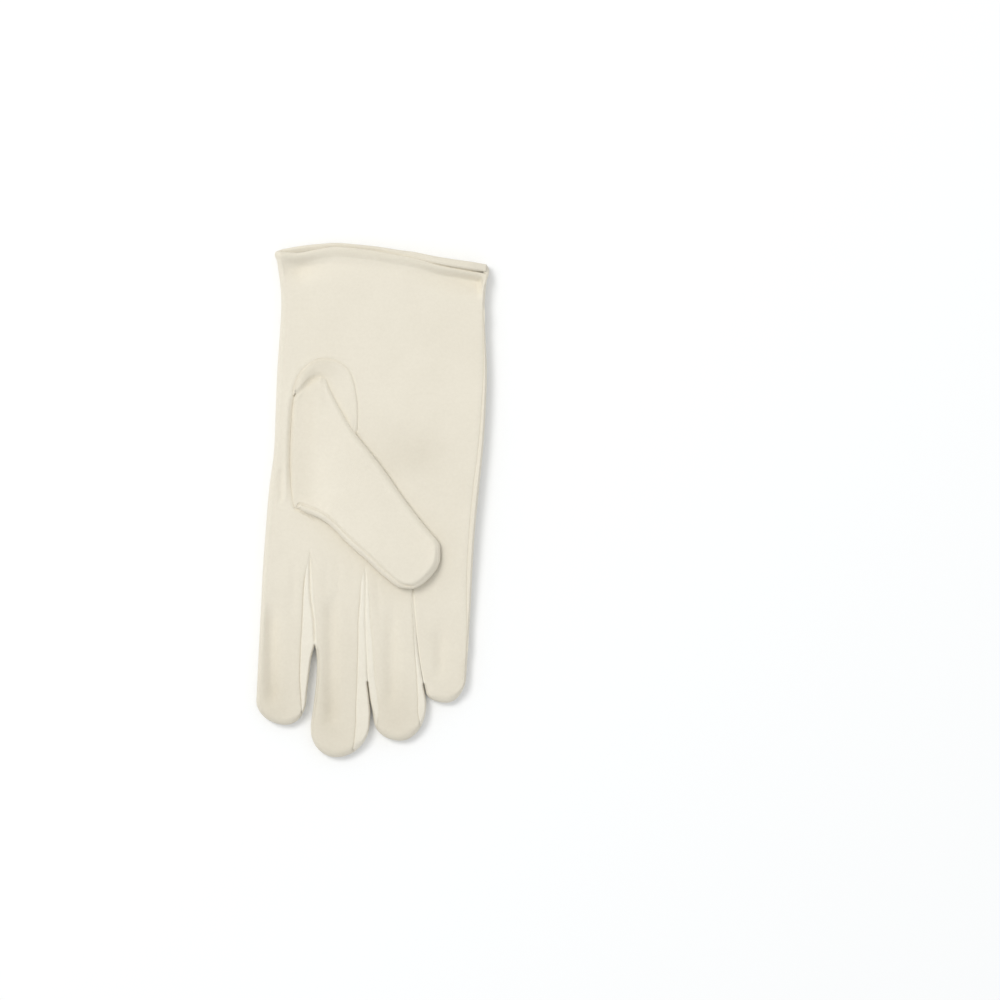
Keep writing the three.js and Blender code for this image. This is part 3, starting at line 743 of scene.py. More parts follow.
# soft hills and hollows of the lying cloth. A fade is where an S curve starts and its length, and a bell is
# its width and its middle
relief = {
    "wide": 0.28 * mm,
    "wideSize": 30 * mm,
    "fine": 0.10 * mm,
    "fineSize": 9 * mm,
    "hemValleyNear": 0.5,
    "hemValleyFar": 5.5 * mm,
    "troughStart": 16 * mm,
    "troughEnd": 10 * mm,
    "ovalRidge": 0.2 * mm,
    "ovalRidgeBell": (1.3 * mm, 2.2 * mm),
    "underThumb": 0.35 * mm,
    "underThumbFade": (-2 * mm, 3 * mm),
    "besideThumb": 0.35 * mm,
    "besideThumbBell": (0.7 * mm, 1.0 * mm),
    "besideThumbFade": (-5 * mm, 10 * mm),
    "fade": (0.8 * mm, 3.2 * mm),
    "back": 0.12 * mm,
    "backSize": 22 * mm,
    "backFade": (0.5 * mm, 4 * mm),
}


def troughDepth(x, y):
    # the sum of all troughs: a bell across each one, with soft ends
    depth = np.zeros_like(x)
    for centre, start, end, width, deep in zip(*troughs.values()):
        long = span(-y, -start, relief["troughStart"], -end - relief["troughEnd"], relief["troughEnd"])
        depth += deep * long * bell(x - centre, width)
    return depth


def foldDepth(x, y):
    # the sum of all small folds: a bell round each line
    depth = np.zeros_like(x)
    for startX, startY, endX, endY, width, deep in zip(*folds.values()):
        distance = nearestOn(np.array([(startX, startY), (endX, endY)]), x, y)[0]
        depth += deep * bell(distance, width)
    return depth


def palmRelief(x, y, edge):
    # everything that lifts or sinks the palm side, fading out towards the outline
    lift = relief["wide"] * clouds(x, y, relief["wideSize"], "wide")
    lift += relief["fine"] * clouds(x, y, relief["fineSize"], "fine")
    lift -= troughDepth(x, y) + foldDepth(x, y)
    valleyAt = read(cuff, "valleyAt", x)
    below = cuffRim(x, palmFace) - y - valleyAt
    valleyWidth = np.where(below < 0, relief["hemValleyNear"] * valleyAt, relief["hemValleyFar"])
    lift -= read(cuff, "valley", x) * bell(below, valleyWidth)
    fromOval = nearestOn(closedOval, x, y)[0]
    lift += relief["ovalRidge"] * bell(fromOval, *relief["ovalRidgeBell"])
    fromThumb = nearestOn(thumbOutline, x, y)[0] * np.where(insideLine(thumbOutline, x, y), -1, 1)
    lift = mix(-relief["underThumb"], lift, smooth(fromThumb, *relief["underThumbFade"]))
    beside = bell(fromThumb, *relief["besideThumbBell"]) * smooth(x + y, *relief["besideThumbFade"])
    lift += relief["besideThumb"] * beside
    return lift * smooth(edge, *relief["fade"])


def backRelief(x, y, edge):
    # the back lies flat on the floor, so its cloth only lifts, and very little
    lift = relief["back"] * (clouds(x, y, relief["backSize"], "back") - 1)
    return lift * smooth(edge, *relief["backFade"])


def liftOf(x, y, face, edge):
    # the hills and hollows of whichever side each place is on
    over = np.broadcast_to(face, x.shape) > 0
    lift = backRelief(x, y, edge)
    lift[over] = palmRelief(x[over], y[over], edge[over])
    return lift


def puckered(distance, along, edge, width=seams["width"]):
    # how far the cloth turns in near a seam, a little deeper at each hidden stitch, and not at the outline
    stitch = stitched(along)
    roll = seams["depth"] * stitch * (1 - quarterOval(distance / (width * stitch)))
    return roll * smooth(edge, 0, seams["fadeOut"])


def grid(points, flat, shadeAndGrime, flip=False, skip=None, wall=1.0):
    # a grid's points with their flat places, their painted shade and grime, and walls, and its faces apart
    # from a skipped block
    rows, columns = points.shape[:2]
    index = np.arange(rows * columns).reshape(rows, columns)
    corners = [index[:-1, :-1], index[1:, :-1], index[1:, 1:], index[:-1, 1:]]
    faces = np.stack(corners[::-1] if flip else corners, -1)
    if skip is not None:
        keep = np.ones(faces.shape[:2], bool)
        keep[skip] = False
        faces = faces[keep]
    shadeAndGrime, wall = (np.broadcast_to(share, (rows, columns)).ravel() for share in (shadeAndGrime, wall))
    return points.reshape(-1, 3), flat.reshape(-1, 2), shadeAndGrime, wall, faces.reshape(-1, 4)


# how close points are merged, in how many levels a wall thins out, and how thin it gets
joinery = {
    "merge": 0.002 * mm,
    "levels": 12,
    "thinnest": 0.03,
}


def newObject(name, data):
    # an object at the origin, in the scene's own collection
    made = bpy.data.objects.new(name, data)
    bpy.context.scene.collection.objects.link(made)
    return made


def makePiece(name, grids, thickness, slot, *nodes):
    # one object from several grids: shared edges are merged, and the cloth gets its thickness inwards
    start = np.cumsum([0] + [len(g[0]) for g in grids[:-1]])
    points, flat, shadeAndGrime, wall = (np.concatenate([g[k] for g in grids]) for k in range(4))
    faces = np.concatenate([g[4] + first for g, first in zip(grids, start)])
    mesh = bpy.data.meshes.new(name)
    mesh.from_pydata(points.tolist(), [], faces.tolist())
    uv = mesh.uv_layers.new(name="cloth")
    uv.data.foreach_set("uv", flat[faces.ravel()].astype(np.float32).ravel())
    # each point's share of painted shade and grime, read by the shader
    mesh.attributes.new("shadeAndGrime", "FLOAT", "POINT").data.foreach_set("value", shadeAndGrime.astype(np.float32))
    piece = newObject(name, mesh)
    level = np.round(wall * joinery["levels"]).astype(int)
    group = piece.vertex_groups.new(name="wall")
    for k in np.unique(level):
        group.add(np.flatnonzero(level == k).tolist(), k / joinery["levels"], "REPLACE")
    work = bmesh.new()
    work.from_mesh(mesh)
    bmesh.ops.remove_doubles(work, verts=work.verts, dist=joinery["merge"])
    work.to_mesh(mesh)
    work.free()
    mesh.shade_smooth()
    edgeOf = np.empty(len(mesh.loops), np.int32)
    mesh.loops.foreach_get("edge_index", edgeOf)
    openEdges = np.bincount(edgeOf, minlength=len(mesh.edges)) == 1
    mesh.attributes.new("sharp_edge", "BOOLEAN", "EDGE").data.foreach_set("value", openEdges)
    if thickness:
        solidify = piece.modifiers.new("cloth", "SOLIDIFY")
        solidify.thickness = thickness
        solidify.offset = -1
        solidify.vertex_group = "wall"
        solidify.thickness_vertex_group = joinery["thinnest"]
    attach(piece, "root")
    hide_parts(*nodes)
    print(name, "made with", len(mesh.polygons), "faces")
    return piece


def clothGrid(x, y, face, starts, ends, flip=False, skip=None):
    # cloth laid on the skin: hills and hollows along its normal, and turned in at its seams
    places, normal, flat, edge = skin(x, y, face)
    fromStart, fromEnd = lengthAcross(places)
    turned = puckered(fromStart, y, edge) * starts + puckered(fromEnd, y, edge) * ends
    lift = liftOf(x, y, face, edge) - turned
    # painted shade in the seam grooves: the cloth greys as far as it turns in
    shadeAndGrime = np.clip(turned / seams["depth"], 0, 1)
    return grid(places + normal * lift[..., None], flat, shadeAndGrime, flip, skip)


def seamAmounts(finger, along, side):
    # how much of a seam a column has on one side: none above the fork, and all a little below it
    fork = finger - 1 + side
    if fork in (-1, 3):
        return np.full((len(along), 1), side * seams["outer"])
    below = forks[fork]["y"][0] - rowPlaces(finger, float(side), along, palmFace)
    return slits[sideNames[1 - side]][fork] * smooth(below, 0, seams["fadeIn"])[:, None]


def makePalm():
    # the hand as one grid over all four columns, with a ring grid round the oval, and a grid for each finger
    columns = [fingerColumn(finger, palmFace) for finger in range(4)]
    hand, fingers = np.s_[:cloth["handRows"] + 1], np.s_[cloth["handRows"]:]
    along = columns[0][2]

    def joined(k):
        # a coordinate over all columns of the hand: each starts on the edge where the one before it ends
        return np.concatenate([c[k][hand, min(n, 1):] for n, c in enumerate(columns)], 1)

    handX, handY = joined(0), joined(1)
    top, bottom = np.searchsorted(along, [cloth["ringFrom"], cloth["ringTo"]])
    half = sum(cloth["across"][:2])
    ends = seamAmounts(3, along[hand], 1)
    grids = [clothGrid(handX, handY, palmFace, 0, ends, skip=np.s_[top:bottom, 0:half])]
    grids.append(ovalRing(handX[top:bottom + 1, :half + 1], handY[top:bottom + 1, :half + 1]))
    for finger, (x, y, _) in enumerate(columns):
        starts, ends = (seamAmounts(finger, along[fingers], side) for side in bothSides)
        grids.append(clothGrid(x[fingers], y[fingers], palmFace, starts, ends))
    return makePiece("palmCloth", grids, shape["cloth"], "cotton_jersey", "palm")


def ovalRing(blockX, blockY):
    # straight lines from the border of a block of the hand's grid to the oval seam, closer at both ends
    frameX, frameY = (
        np.concatenate([b[0, :-1], b[:-1, -1], b[-1, :0:-1], b[:0:-1, 0], b[0, :1]]) for b in (blockX, blockY)
    )
    angle = np.unwrap(np.arctan2(frameY - ovalCentre[1], frameX - ovalCentre[0]))
    hole = ovalAt(mix(angle, mix(angle[0], angle[-1], steps(len(angle) - 1)), cloth["ringEven"]))
    share = crowded(cloth["ovalRings"])[:, None]
    x, y = mix(frameX, hole[:, 0], share), mix(frameY, hole[:, 1], share)
    places, normal, flat, edge = skin(x, y, palmFace)
    roll, fromOval = ovalRoll(x, y)
    lift = palmRelief(x, y, edge) - roll
    return grid(places + normal * lift[..., None], flat, ovalSeamShade(fromOval))


def ovalSeamShade(fromOval):
    # painted shade in the oval seam's valley: how much it greys the cloth at the seam, down to nothing a
    # little way from it
    return cloth["seamShade"] * (1 - smooth(fromOval, 0, cloth["shadeReach"]))


def makeBack():
    # the same columns from below; at the little finger the cloth runs on round the edge to the outer seam
    grids = []
    for finger in range(4):
        x, y, along = fingerColumn(finger, backFace)
        face = np.full_like(x, backFace)
        starts, ends = (seamAmounts(finger, along, side) for side in bothSides)
        if finger == 3:
            left, seam = (seamShare(3, side, along) for side in bothSides)
            under = mix(left, 1.0, acrossShares(3, along))
            over = mix(1.0, seam, steps(cloth["wrap"])[1:] ** 2)
            across = np.concatenate([under, over], 1)
            face = np.concatenate([np.full_like(under, backFace), np.full_like(over, palmFace)], 1)
            y = rowPlaces(3, across, along[:, None], face)
            x = mix(*edges(3, y), across)
        grids.append(clothGrid(x, y, face, starts, ends, flip=True))
    return makePiece("backCloth", grids, shape["cloth"], "cotton_jersey", "back")


def roundedEdge(finger, side, y):
    # a finger's outline with its rounded end, read from the line that its cloth ends on
    towardsEdge = np.sin(steps(shape["tipReadings"]) * np.pi / 2)
    across = mix(tipShape(finger)[3], side, towardsEdge)
    roundY = tipLine(finger, across)
    roundX = np.interp(y, roundY, mix(*edges(finger, roundY), across))
    return np.where(y < roundY[-1], roundX, fingerEdge(finger, side, y)[0])


strips = {
    "narrowest": 0.2 * mm,
    "fullWall": 2.0 * mm,
    "along": 130,
    "readings": 600,
    "section": 15,
    "seamsMeet": 3 * mm,
    "girth": 24 * mm,
    "closedFade": 3 * mm,
    "forkFade": 6 * mm,
}


def makeFourchette(order, name):
    # the strip between two fingers: up one finger's side to the fork, and down the other's
    forkY = forks[order]["y"][0]
    slit = {key: column[order] for key, column in slits.items()}

    def flank(finger, side):
        # down one finger's side: x of the strip's seam, x of its outermost edge, and y
        y = np.linspace(forkY, tips["tip"][finger], strips["readings"])
        inward = 1 - 2 * side
        x, seam = fingerEdge(finger, side, y)
        ends = np.stack([x + inward * seam, roundedEdge(finger, side, y), y], 1)
        last = np.flatnonzero((ends[:, 0] - ends[:, 1]) * inward > strips["narrowest"])[-1]
        return ends[np.round(steps(strips["along"]) * last).astype(int)]

    ends = np.concatenate([flank(order, 1)[::-1], flank(order + 1, 0)[1:]])
    bend = np.sin(steps(strips["section"]) * np.pi / 2)
    share = np.concatenate([bend, bend[::-1]])
    face = np.repeat([backFace, palmFace], len(bend))
    seamX, edgeX, y = (ends[:, k, None] for k in range(3))
    x = mix(seamX, edgeX, share)
    y = np.broadcast_to(y, x.shape)
    width = np.abs(seamX - edgeX)
    places, normal, _, edge = skin(x, y, face)
    fromStart, fromEnd = lengthAcross(places)
    strength = np.repeat([slit["left"], slit["right"]], [strips["along"] + 1, strips["along"]])[:, None]
    strength = strength * smooth(forkY - y, 0, seams["fadeIn"]) * smooth(width, 0, strips["seamsMeet"])
    turned = strength * sum(puckered(far, y, edge, seams["stripWidth"]) for far in (fromStart, fromEnd))
    closed = smooth(y, slit["top"], strips["closedFade"]) * smooth(forkY - y, 0, strips["forkFade"])
    valley = slit["groove"] * closed * bell(x - edgeX, slit["grooveWidth"])
    lift = liftOf(x, y, face, edge) - np.where(face > 0, valley, 0) - turned
    along = np.concatenate([[0], np.cumsum(np.linalg.norm(np.diff(ends[:, 1:], axis=0), axis=1))])
    girth = np.where(face > 0, strips["girth"] - fromEnd, fromStart)
    flat = np.stack([girth, np.broadcast_to(along[:, None], girth.shape)], -1)
    # painted shade in the strip's seam grooves: the cloth greys as far as it turns in
    shadeAndGrime = np.clip(turned / seams["depth"], 0, 1)
    wall = smooth(width, 0, strips["fullWall"])
    piece = grid(places + normal * lift[..., None], flat, shadeAndGrime, wall=wall)
    return makePiece(name + "Strip", [piece], shape["cloth"], "fourchette_cotton", "fourchette_" + name)


hem = {
    "reach": 5.4 * mm,
    "roll": 1.3 * mm,
    "bump": 0.7 * mm,
    "sunk": 0.08 * mm,
    "inner": 1.7 * mm,
    "curlReach": 3.0 * mm,
    "curlFade": 3.2 * mm,
    "curlCorner": 8 * mm,
    "palmCorner": 2.5 * mm,
    "cornerInset": 1.2 * mm,
    "tuck": 3.6 * mm,
    "around": 170,
    "outerRows": 14,
    "turnRows": 12,
    "innerRows": 8,
    "wobble": 0.15 * mm,
    "wobbleSize": 7 * mm,
    "bumpShare": 0.7,
    "uneven": 0.25,
    "unevenSize": 9 * mm,
    "aboveFloor": 0.05 * mm,
}


def makeHem():
    # the turned edge: from its foot on the cloth it thickens to a roll round the rim, and runs on inside.
    # At the back it also curls up behind the palm's rim
    share = crowded(hem["around"])
    share = np.concatenate([share, share[-2::-1]])[:, None]
    face = np.repeat([[palmFace], [backFace]], [hem["around"] + 1, hem["around"]], axis=0)
    left, right = (sides[name][0] for name in sideNames)
    rimX = mix(left, right, share)
    wobble = hem["wobble"] * clouds(rimX, rimX * 0, hem["wobbleSize"], "rim")
    rim = cuffRim(rimX, face) + wobble * np.sin(np.pi * share)
    turn = steps(hem["turnRows"]) * np.pi
    outer = mix(hem["reach"], hem["roll"], steps(hem["outerRows"])[:-1])
    inner = mix(hem["roll"], hem["reach"], steps(hem["innerRows"])[1:])
    below = np.concatenate([outer, hem["roll"] * (1 - np.sin(turn)), inner])
    isInner = np.concatenate([outer * 0, (1 - np.cos(turn)) / 2, inner * 0 + 1])
    y = rim - below
    x = mix(read(sides, "left", y), read(sides, "right", y), share)
    side = np.broadcast_to(face, x.shape)
    places, normal, _, edge = skin(x, y, side)
    lift = liftOf(x, y, side, edge)
    bump = hem["bump"] * smooth(hem["reach"] - below, 0, hem["reach"] * hem["bumpShare"]) - hem["sunk"]
    bump = bump * (1 + hem["uneven"] * clouds(x, y, hem["unevenSize"], "roll"))
    curl = read(cuffCurl, "curl", x)
    curl = np.minimum(curl, mix(1, curl, smooth(right - rimX, 0, hem["curlCorner"])))
    curl = np.where(side > 0, 1 - smooth(right - rimX, 0, hem["palmCorner"]), curl)
    curl = curl * (1 - smooth(below, hem["curlReach"], hem["curlFade"])) * isInner
    points = places + normal * (lift + mix(bump, -hem["inner"], isInner))[..., None]
    inside = np.minimum(x, read(sides, "right", y) - hem["cornerInset"])
    palmHeight = skin(inside, y, palmFace)[0][..., 2]
    points[..., 2] = np.maximum(mix(points[..., 2], palmHeight, curl), hem["aboveFloor"])
    points = np.concatenate([points, points[:, :1]], 1)
    flat = np.stack(np.broadcast_arrays(rimX * face, lengthAcross(points)[0]), -1)
    # painted shade and some real dirt, greying the hem towards its rim
    shadedAndDirty = smooth(hem["reach"] - np.append(below, below[0]), 0, hem["reach"])
    return makePiece("hemRoll", [grid(points, flat, shadedAndDirty)], 0, "hem_cotton", "wrist_hem")


def thumbHeights(row, share):
    # the thumb's plan, the distance from its outline, and the height of its underside, waist and top there
    plan = thumbPlace(row, share)
    x, y = np.moveaxis(plan, -1, 0)
    edge = nearestOn(thumbOutline, x, y)[0]
    leftSeam = ovalHeight(*thumbPlace(0.0, share).T)
    base = mix(leftSeam, shape["height"] + thumb["clearance"], smooth(row, *thumb["baseRows"]))
    base = base - ovalRoll(x, y)[0] * (1 - smooth(row, *thumb["valleyRows"]))
    dip = span(row, *thumb["dipRows"]) * smooth(share, *thumb["dipAcross"])
    base = base - thumb["dip"] * dip * (1 - smooth(edge, 0, thumb["dipReach"]))
    lowSide = span(row, *thumb["liftRows"]) * (1 - smooth(share, *thumb["liftAcross"]))
    height = read(thumbRows, "height", row) + thumb["lift"] * lowSide
    onSlope = span(row, *thumb["slopeRows"]) * smooth(share, *thumb["slopeAcross"])
    height = height * mix(1, thumb["slope"], onSlope)
    waist = mix(*thumb["waist"], smooth(share, *thumb["waistAcross"]))
    return plan, edge, base, base + height * waist, base + height


def raised(plan, z):
    # places seen from above, with their heights
    return np.concatenate([plan, z[..., None]], -1)


def makeThumb():
    # the thumb as one skin: over its top from the oval's left side, under it, and a patch from there to the
    # oval's right side
    rows = mix(steps(thumb["rows"]), steps(thumb["rows"]) ** 2, thumb["rowCrowd"])[:, None] * lastRow
    share = crowded(thumb["across"])
    plan, edge, _, waist, high = thumbHeights(rows, share)
    radius = mix(*thumb["radius"], smooth(share, *thumb["radiusAcross"]))
    radius = mix(radius, thumb["tipRadius"], smooth(rows, *thumb["tipRows"]))
    width = np.linalg.norm(plan[:, -1:] - plan[:, :1], axis=-1)
    fromLow, fromHigh = share * width, (1 - share) * width
    on = span(rows, *thumb["seamRows"]) * smooth(edge, 0, thumb["seamFrom"])
    inset = mix(*thumb["seamInset"], smooth(rows, *thumb["insetRows"]))
    groove = bell(fromLow, thumb["seamWidth"], inset) * stitched(plan[..., 1]) * on
    grooveDepth = mix(*thumb["seamDepth"], smooth(rows, *thumb["depthRows"]))
    atTip = bell(edge, thumb["seamWidth"], thumb["tipSeam"]) * smooth(rows, *thumb["tipSeamRows"])
    ridges = thumb["ridge"] * bell(fromLow, thumb["ridgeWidth"], inset / 2)
    ridges = ridges + thumb["highRidge"] * bell(fromHigh, *thumb["highRidgeBell"])
    hills = thumb["hills"] * clouds(plan[..., 0], plan[..., 1], thumb["hillSize"], "thumb")
    hills = hills * smooth(edge, 0, thumb["hillsFrom"]) * smooth(rows, *thumb["hillRows"])
    z = mix(waist, high, quarterOval(edge / radius)) + ridges * on + hills
    z = z - groove * grooveDepth - atTip * thumb["tipSeamDepth"]

    folded = read(thumbPleat, "row", share)
    planUnder, edgeUnder, baseUnder, waistUnder, _ = thumbHeights(mix(folded, lastRow, rows / lastRow), share)
    swellUnder = quarterOval(edgeUnder / thumb["underRadius"])
    zUnder = mix(waistUnder, baseUnder, swellUnder)

    s = (1 - np.cos(steps(thumb["patchRows"]) * np.pi / 2))[:, None]
    seam = ovalAlong(read(thumbPleat, "oval", share))
    planPatch = mix(seam, planUnder[0], s[..., None])
    roll, fromSeam = ovalRoll(planPatch[..., 0], planPatch[..., 1])
    onPalm = shape["height"] - thumb["patchDrop"]
    zPatch = mix(ovalHeight(*seam.T), onPalm, smooth(fromSeam, 0, thumb["patchReach"])) - roll
    zPatch = mix(zPatch, zUnder[0], smooth(s, *thumb["patchRise"]))

    def lipped(points, start, shares):
        # one more row in front, tucked under the palm's edge
        off = start - ovalCentre
        tucked = start + off / np.linalg.norm(off, axis=-1, keepdims=True) * thumb["lip"]
        lip = raised(tucked, points[0, :, 2] - thumb["lipDrop"])
        return np.concatenate([lip[None], points]), [np.concatenate([share[:1], share]) for share in shares]

    cosine, sine = np.cos(thumb["grainAngle"]), np.sin(thumb["grainAngle"])
    turned = np.array([[cosine, -sine], [sine, cosine]])
    wall = np.clip((z - waist) / thumb["fullWall"], 0, 1)
    # painted shade: in the thumb's seam grooves, round its tip seam and over its first rows
    shadeAndGrime = np.clip(groove + atTip + thumb["startShade"] * (1 - smooth(rows, *thumb["startShadeRows"])), 0, 1)
    top, (plan, shadeAndGrime, wall) = lipped(raised(plan, z), plan[0], (plan, shadeAndGrime, wall))
    patchWall = np.broadcast_to(1 - smooth(s, *thumb["patchThin"]), zPatch.shape)
    # painted shade at the oval seam and towards the pleat
    patchShade = ovalSeamShade(fromSeam) + smooth(share, *thumb["pleatShadeAcross"])
    patch, (planPatch, patchShade, patchWall) = lipped(
        raised(planPatch, zPatch), seam, (planPatch, patchShade, patchWall)
    )
    underWall = swellUnder * smooth(rows, *thumb["wallRows"])
    grids = [
        grid(top, plan @ turned, shadeAndGrime, wall=wall),
        grid(raised(planUnder, zUnder), planUnder @ turned, 0.0, flip=True, wall=underWall),
        grid(patch, planPatch @ turned, patchShade, wall=patchWall),
    ]
    return makePiece("thumbCloth", grids, shape["cloth"], "cotton_jersey", "thumb")


class Wire:
    # one value in a shader; Python sums with it become Math nodes
    def __init__(self, tree, socket=None):
        self.tree = tree
        self.socket = socket

    def node(self, kind, settings, values, output=0):
        # any other node: its settings first, then a number or a link for each of its inputs
        made = self.tree.nodes.new(kind)
        for name, value in settings.items():
            setattr(made, name, value)
        for name, value in values.items():
            if isinstance(value, Wire):
                self.tree.links.new(value.socket, made.inputs[name])
            else:
                made.inputs[name].default_value = value
        return Wire(self.tree, made.outputs[output])

    def math(self, operation, *others, clamp=False):
        # a sum of this value and the others; clamp keeps it between 0 and 1
        settings = {"operation": operation, "use_clamp": clamp}
        return self.node("ShaderNodeMath", settings, dict(enumerate((self, *others))))

    def __add__(self, other):
        return self.math("ADD", other)

    def __sub__(self, other):
        return self.math("SUBTRACT", other)

    def __rsub__(self, other):
        return -self + other

    def __mul__(self, other):
        return self.math("MULTIPLY", other)

    def __truediv__(self, other):
        return self.math("DIVIDE", other)

    def __pow__(self, other):
        return self.math("POWER", other)

    def __rpow__(self, other):
        return self.node("ShaderNodeMath", {"operation": "POWER"}, {0: other, 1: self})

    def __neg__(self):
        return self * -1

    __radd__ = __add__
    __rmul__ = __mul__


knit = {
    "wale": 0.68 * mm,
    "course": 0.52 * mm,
    "slant": 1.1,
    "height": 0.10 * mm,
    "fibre": 0.16 * mm,
    "fibreHeight": 0.05 * mm,
    "uneven": 0.12,
    "unevenSize": 3 * mm,
}

# how much each thing greys the cloth, and its size; the fingers grey towards their tips, partly painted shade
# and partly soiling
greying = {
    "all": 0.05,
    "shadeAndGrime": 0.2,
    "clouds": 0.25,
    "cloudSize": 24 * mm,
    "specks": 0.25,
    "speckSize": 1.4 * mm,
    "fingers": 0.28,
    "fingersFrom": -50 * mm,
    "fingersLength": 65 * mm,
    "patchSize": 5 * mm,
    "patchRange": 0.9,
    "patchLow": 0.55,
    "fibres": 0.10,
    "stitches": 0.06,
}

# soft stains: palm, index finger and its tip, middle finger and its tip, tip of the ring finger
stains = table("x y reachX reachY strength", [
    (21, 21, 16, 12, 0.22),
    (-42, -66, 13, 26, 0.08),
    (-47, -91, 7, 12, 0.28),
    (-17, -62, 12, 26, 0.14),
    (-21, -98, 6, 14, 0.25),
    (9, -98, 8, 12, 0.15),
], plain="strength")

# each cloth where it is clean and where it is fully greyed, by painted shade and by dirt and stains, and the
# shader's plain values for it and for the floor
colours = {
    "jersey": ((0.864, 0.81, 0.69), (0.63, 0.57, 0.45)),
    # a lighter copy of the same jersey for the strips between the fingers: painted light, where they lie lit
    # and flat
    "paintedLightJersey": ((0.92, 0.875, 0.76), (0.70, 0.64, 0.52)),
}
clothFinish = {"Roughness": 0.92, "Specular IOR Level": 0.2, "Sheen Weight": 0.15, "Sheen Roughness": 0.6}
paperFinish = {"Base Color": (0.93, 0.935, 0.94, 1), "Roughness": 1.0, "Specular IOR Level": 0.0}


def newMaterial(name, finish):
    # a plain shader with the values of its finish
    material = bpy.data.materials.new(name)
    material.use_nodes = True
    shader = material.node_tree.nodes["Principled BSDF"]
    for socket, value in finish.items():
        shader.inputs[socket].default_value = value
    return material, shader


def makeCloth(name, clean, shadedAndDirty):
    # knitted cotton: height = ribs of slanted stitches + fibres, and colour = clean, greyer with painted
    # shade at seams and folds and towards the fingertips, and with stains, dirt and random tone
    material, shader = newMaterial(name, clothFinish)
    tree = material.node_tree
    start = Wire(tree)

    def noise(size, detail=3.0):
        # random hills of that size in metres, from 0 to 1
        return start.node("ShaderNodeTexNoise", {}, {"Vector": place, "Scale": 1 / size, "Detail": detail})

    def parts(vector):
        # a vector's first two numbers
        return [start.node("ShaderNodeSeparateXYZ", {}, {0: vector}, k) for k in range(2)]

    place = start.node("ShaderNodeTexCoord", {}, {}, "Object")
    x, y = parts(place)
    u, v = parts(start.node("ShaderNodeUVMap", {"uv_map": "cloth"}, {}))
    rib = u / knit["wale"] + noise(knit["unevenSize"], 2.0) * knit["uneven"]
    leg = (rib.math("FRACT") - 0.5).math("ABSOLUTE")
    turn = (v / knit["course"] + leg * knit["slant"]) * (2 * np.pi)
    stitches = (leg * (2 * np.pi)).math("SINE") ** 0.5 * (turn.math("COSINE") * 0.5 + 0.5)
    fibres = noise(knit["fibre"])
    height = stitches * knit["height"] + fibres * knit["fibreHeight"]
    bump = start.node("ShaderNodeBump", {}, {"Strength": 1.0, "Distance": 1.0, "Height": height})

    # painted shade at seams, folds and the thumb's start, with some real grime at the hem
    shadeAndGrime = start.node("ShaderNodeAttribute", {"attribute_name": "shadeAndGrime"}, {}, "Fac")
    grey = shadeAndGrime * greying["shadeAndGrime"] + greying["all"]
    grey = grey + (noise(greying["cloudSize"]) - 0.5) * greying["clouds"]
    grey = grey + (noise(greying["speckSize"], 4.0) - 0.5) * greying["specks"]
    # painted shade towards the fingertips, with some real soiling
    alongFingers = (greying["fingersFrom"] - y).math("DIVIDE", greying["fingersLength"], clamp=True)
    grey = grey + alongFingers * greying["fingers"]
    patchy = noise(greying["patchSize"]) * greying["patchRange"] + greying["patchLow"]
    for middleX, middleY, reachX, reachY, strength in zip(*stains.values()):
        offX, offY = (x - middleX) / reachX, (y - middleY) / reachY
        grey = grey + np.e ** -(offX * offX + offY * offY) * patchy * strength
    grey = grey + (fibres - 0.5) * greying["fibres"]
    grey = (grey + (1 - stitches) * greying["stitches"]).math("MULTIPLY", 1.0, clamp=True)
    colour = start.node("ShaderNodeMix", {"data_type": "RGBA"}, {0: grey, 6: (*clean, 1), 7: (*shadedAndDirty, 1)}, 2)
    tree.links.new(colour.socket, shader.inputs["Base Color"])
    tree.links.new(bump.socket, shader.inputs["Normal"])
    return material


studio = {
    "floorHalf": 3.0,
    "sky": 0.755,
    "skyColour": (0.975, 0.99, 1.0),
    "keyPlace": (-1.2, 1.1, 2.85),
    "keySize": 1.2,
    "keyPower": 45,
    "keyColour": (1.0, 0.985, 0.955),
}

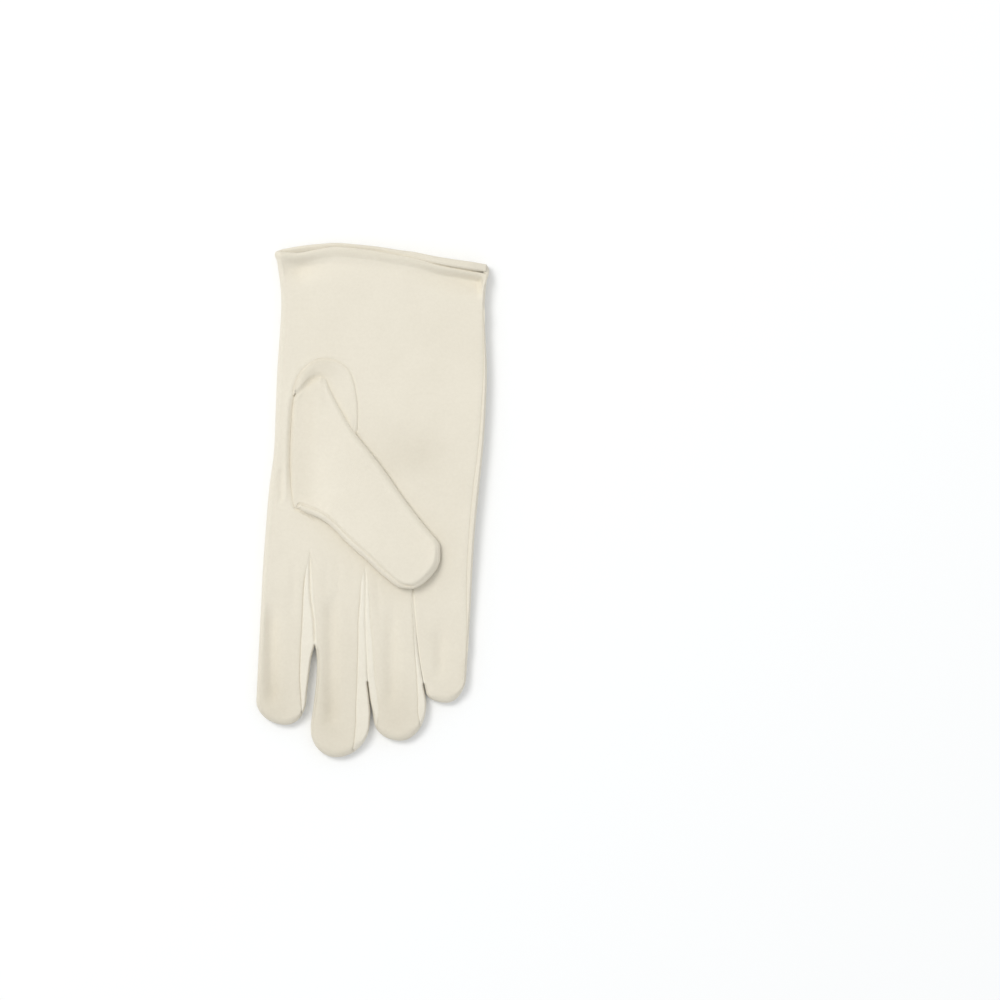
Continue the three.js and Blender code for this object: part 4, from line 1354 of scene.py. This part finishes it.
# the photo's width, where the glove's middle is in it, a pixel's size on the glove, and the lens
photo = {
    "pixels": 1000,
    "middle": 373.5,
    "pixel": 0.466 * mm,
    "lens": 150,
    "sensor": 36,
    "focus": 6 * mm,
    "clipEnd": 20,
}


def makeFloor():
    # a plain pale floor far wider than the view
    half = studio["floorHalf"]
    mesh = bpy.data.meshes.new("floor")
    corners = [(-half, -half, 0), (half, -half, 0), (half, half, 0), (-half, half, 0)]
    mesh.from_pydata(corners, [], [(0, 1, 2, 3)])
    mesh.materials.append(newMaterial("paper", paperFinish)[0])
    floor = newObject("floor", mesh)


def makeStudio():
    # an even white surround and one soft lamp up to the left; the camera looks straight down
    scene = bpy.context.scene
    world = bpy.data.worlds.new("studio")
    world.use_nodes = True
    surround = world.node_tree.nodes["Background"]
    surround.inputs["Color"].default_value = (*studio["skyColour"], 1)
    surround.inputs["Strength"].default_value = studio["sky"]
    scene.world = world
    lamp = bpy.data.lights.new("key", "AREA")
    lamp.size = studio["keySize"]
    lamp.energy = studio["keyPower"]
    lamp.color = studio["keyColour"]
    key = newObject("key", lamp)
    key.location = studio["keyPlace"]
    key.rotation_euler = (-Vector(studio["keyPlace"])).to_track_quat("-Z", "Y").to_euler()
    lens = bpy.data.cameras.new("camera")
    lens.lens = photo["lens"]
    lens.sensor_width = photo["sensor"]
    lens.clip_end = photo["clipEnd"]
    camera = newObject("camera", lens)
    distance = photo["pixels"] * photo["pixel"] * photo["lens"] / photo["sensor"]
    camera.location = ((photo["pixels"] / 2 - photo["middle"]) * photo["pixel"], 0, distance + photo["focus"])
    scene.camera = camera
    scene.view_settings.view_transform = "Standard"


palmCloth = makePalm()
backCloth = makeBack()
gapNames = ("index_middle", "middle_ring", "ring_little")
fourchettes = [makeFourchette(order, name) for order, name in enumerate(gapNames)]
hemRoll = makeHem()
thumbCloth = makeThumb()

wornBy = {"jersey": (palmCloth, backCloth, thumbCloth, hemRoll), "paintedLightJersey": fourchettes}
for name, pieces in wornBy.items():
    material = makeCloth(name, *colours[name])
    for piece in pieces:
        piece.data.materials.append(material)


makeFloor()
makeStudio()
print("studio made")
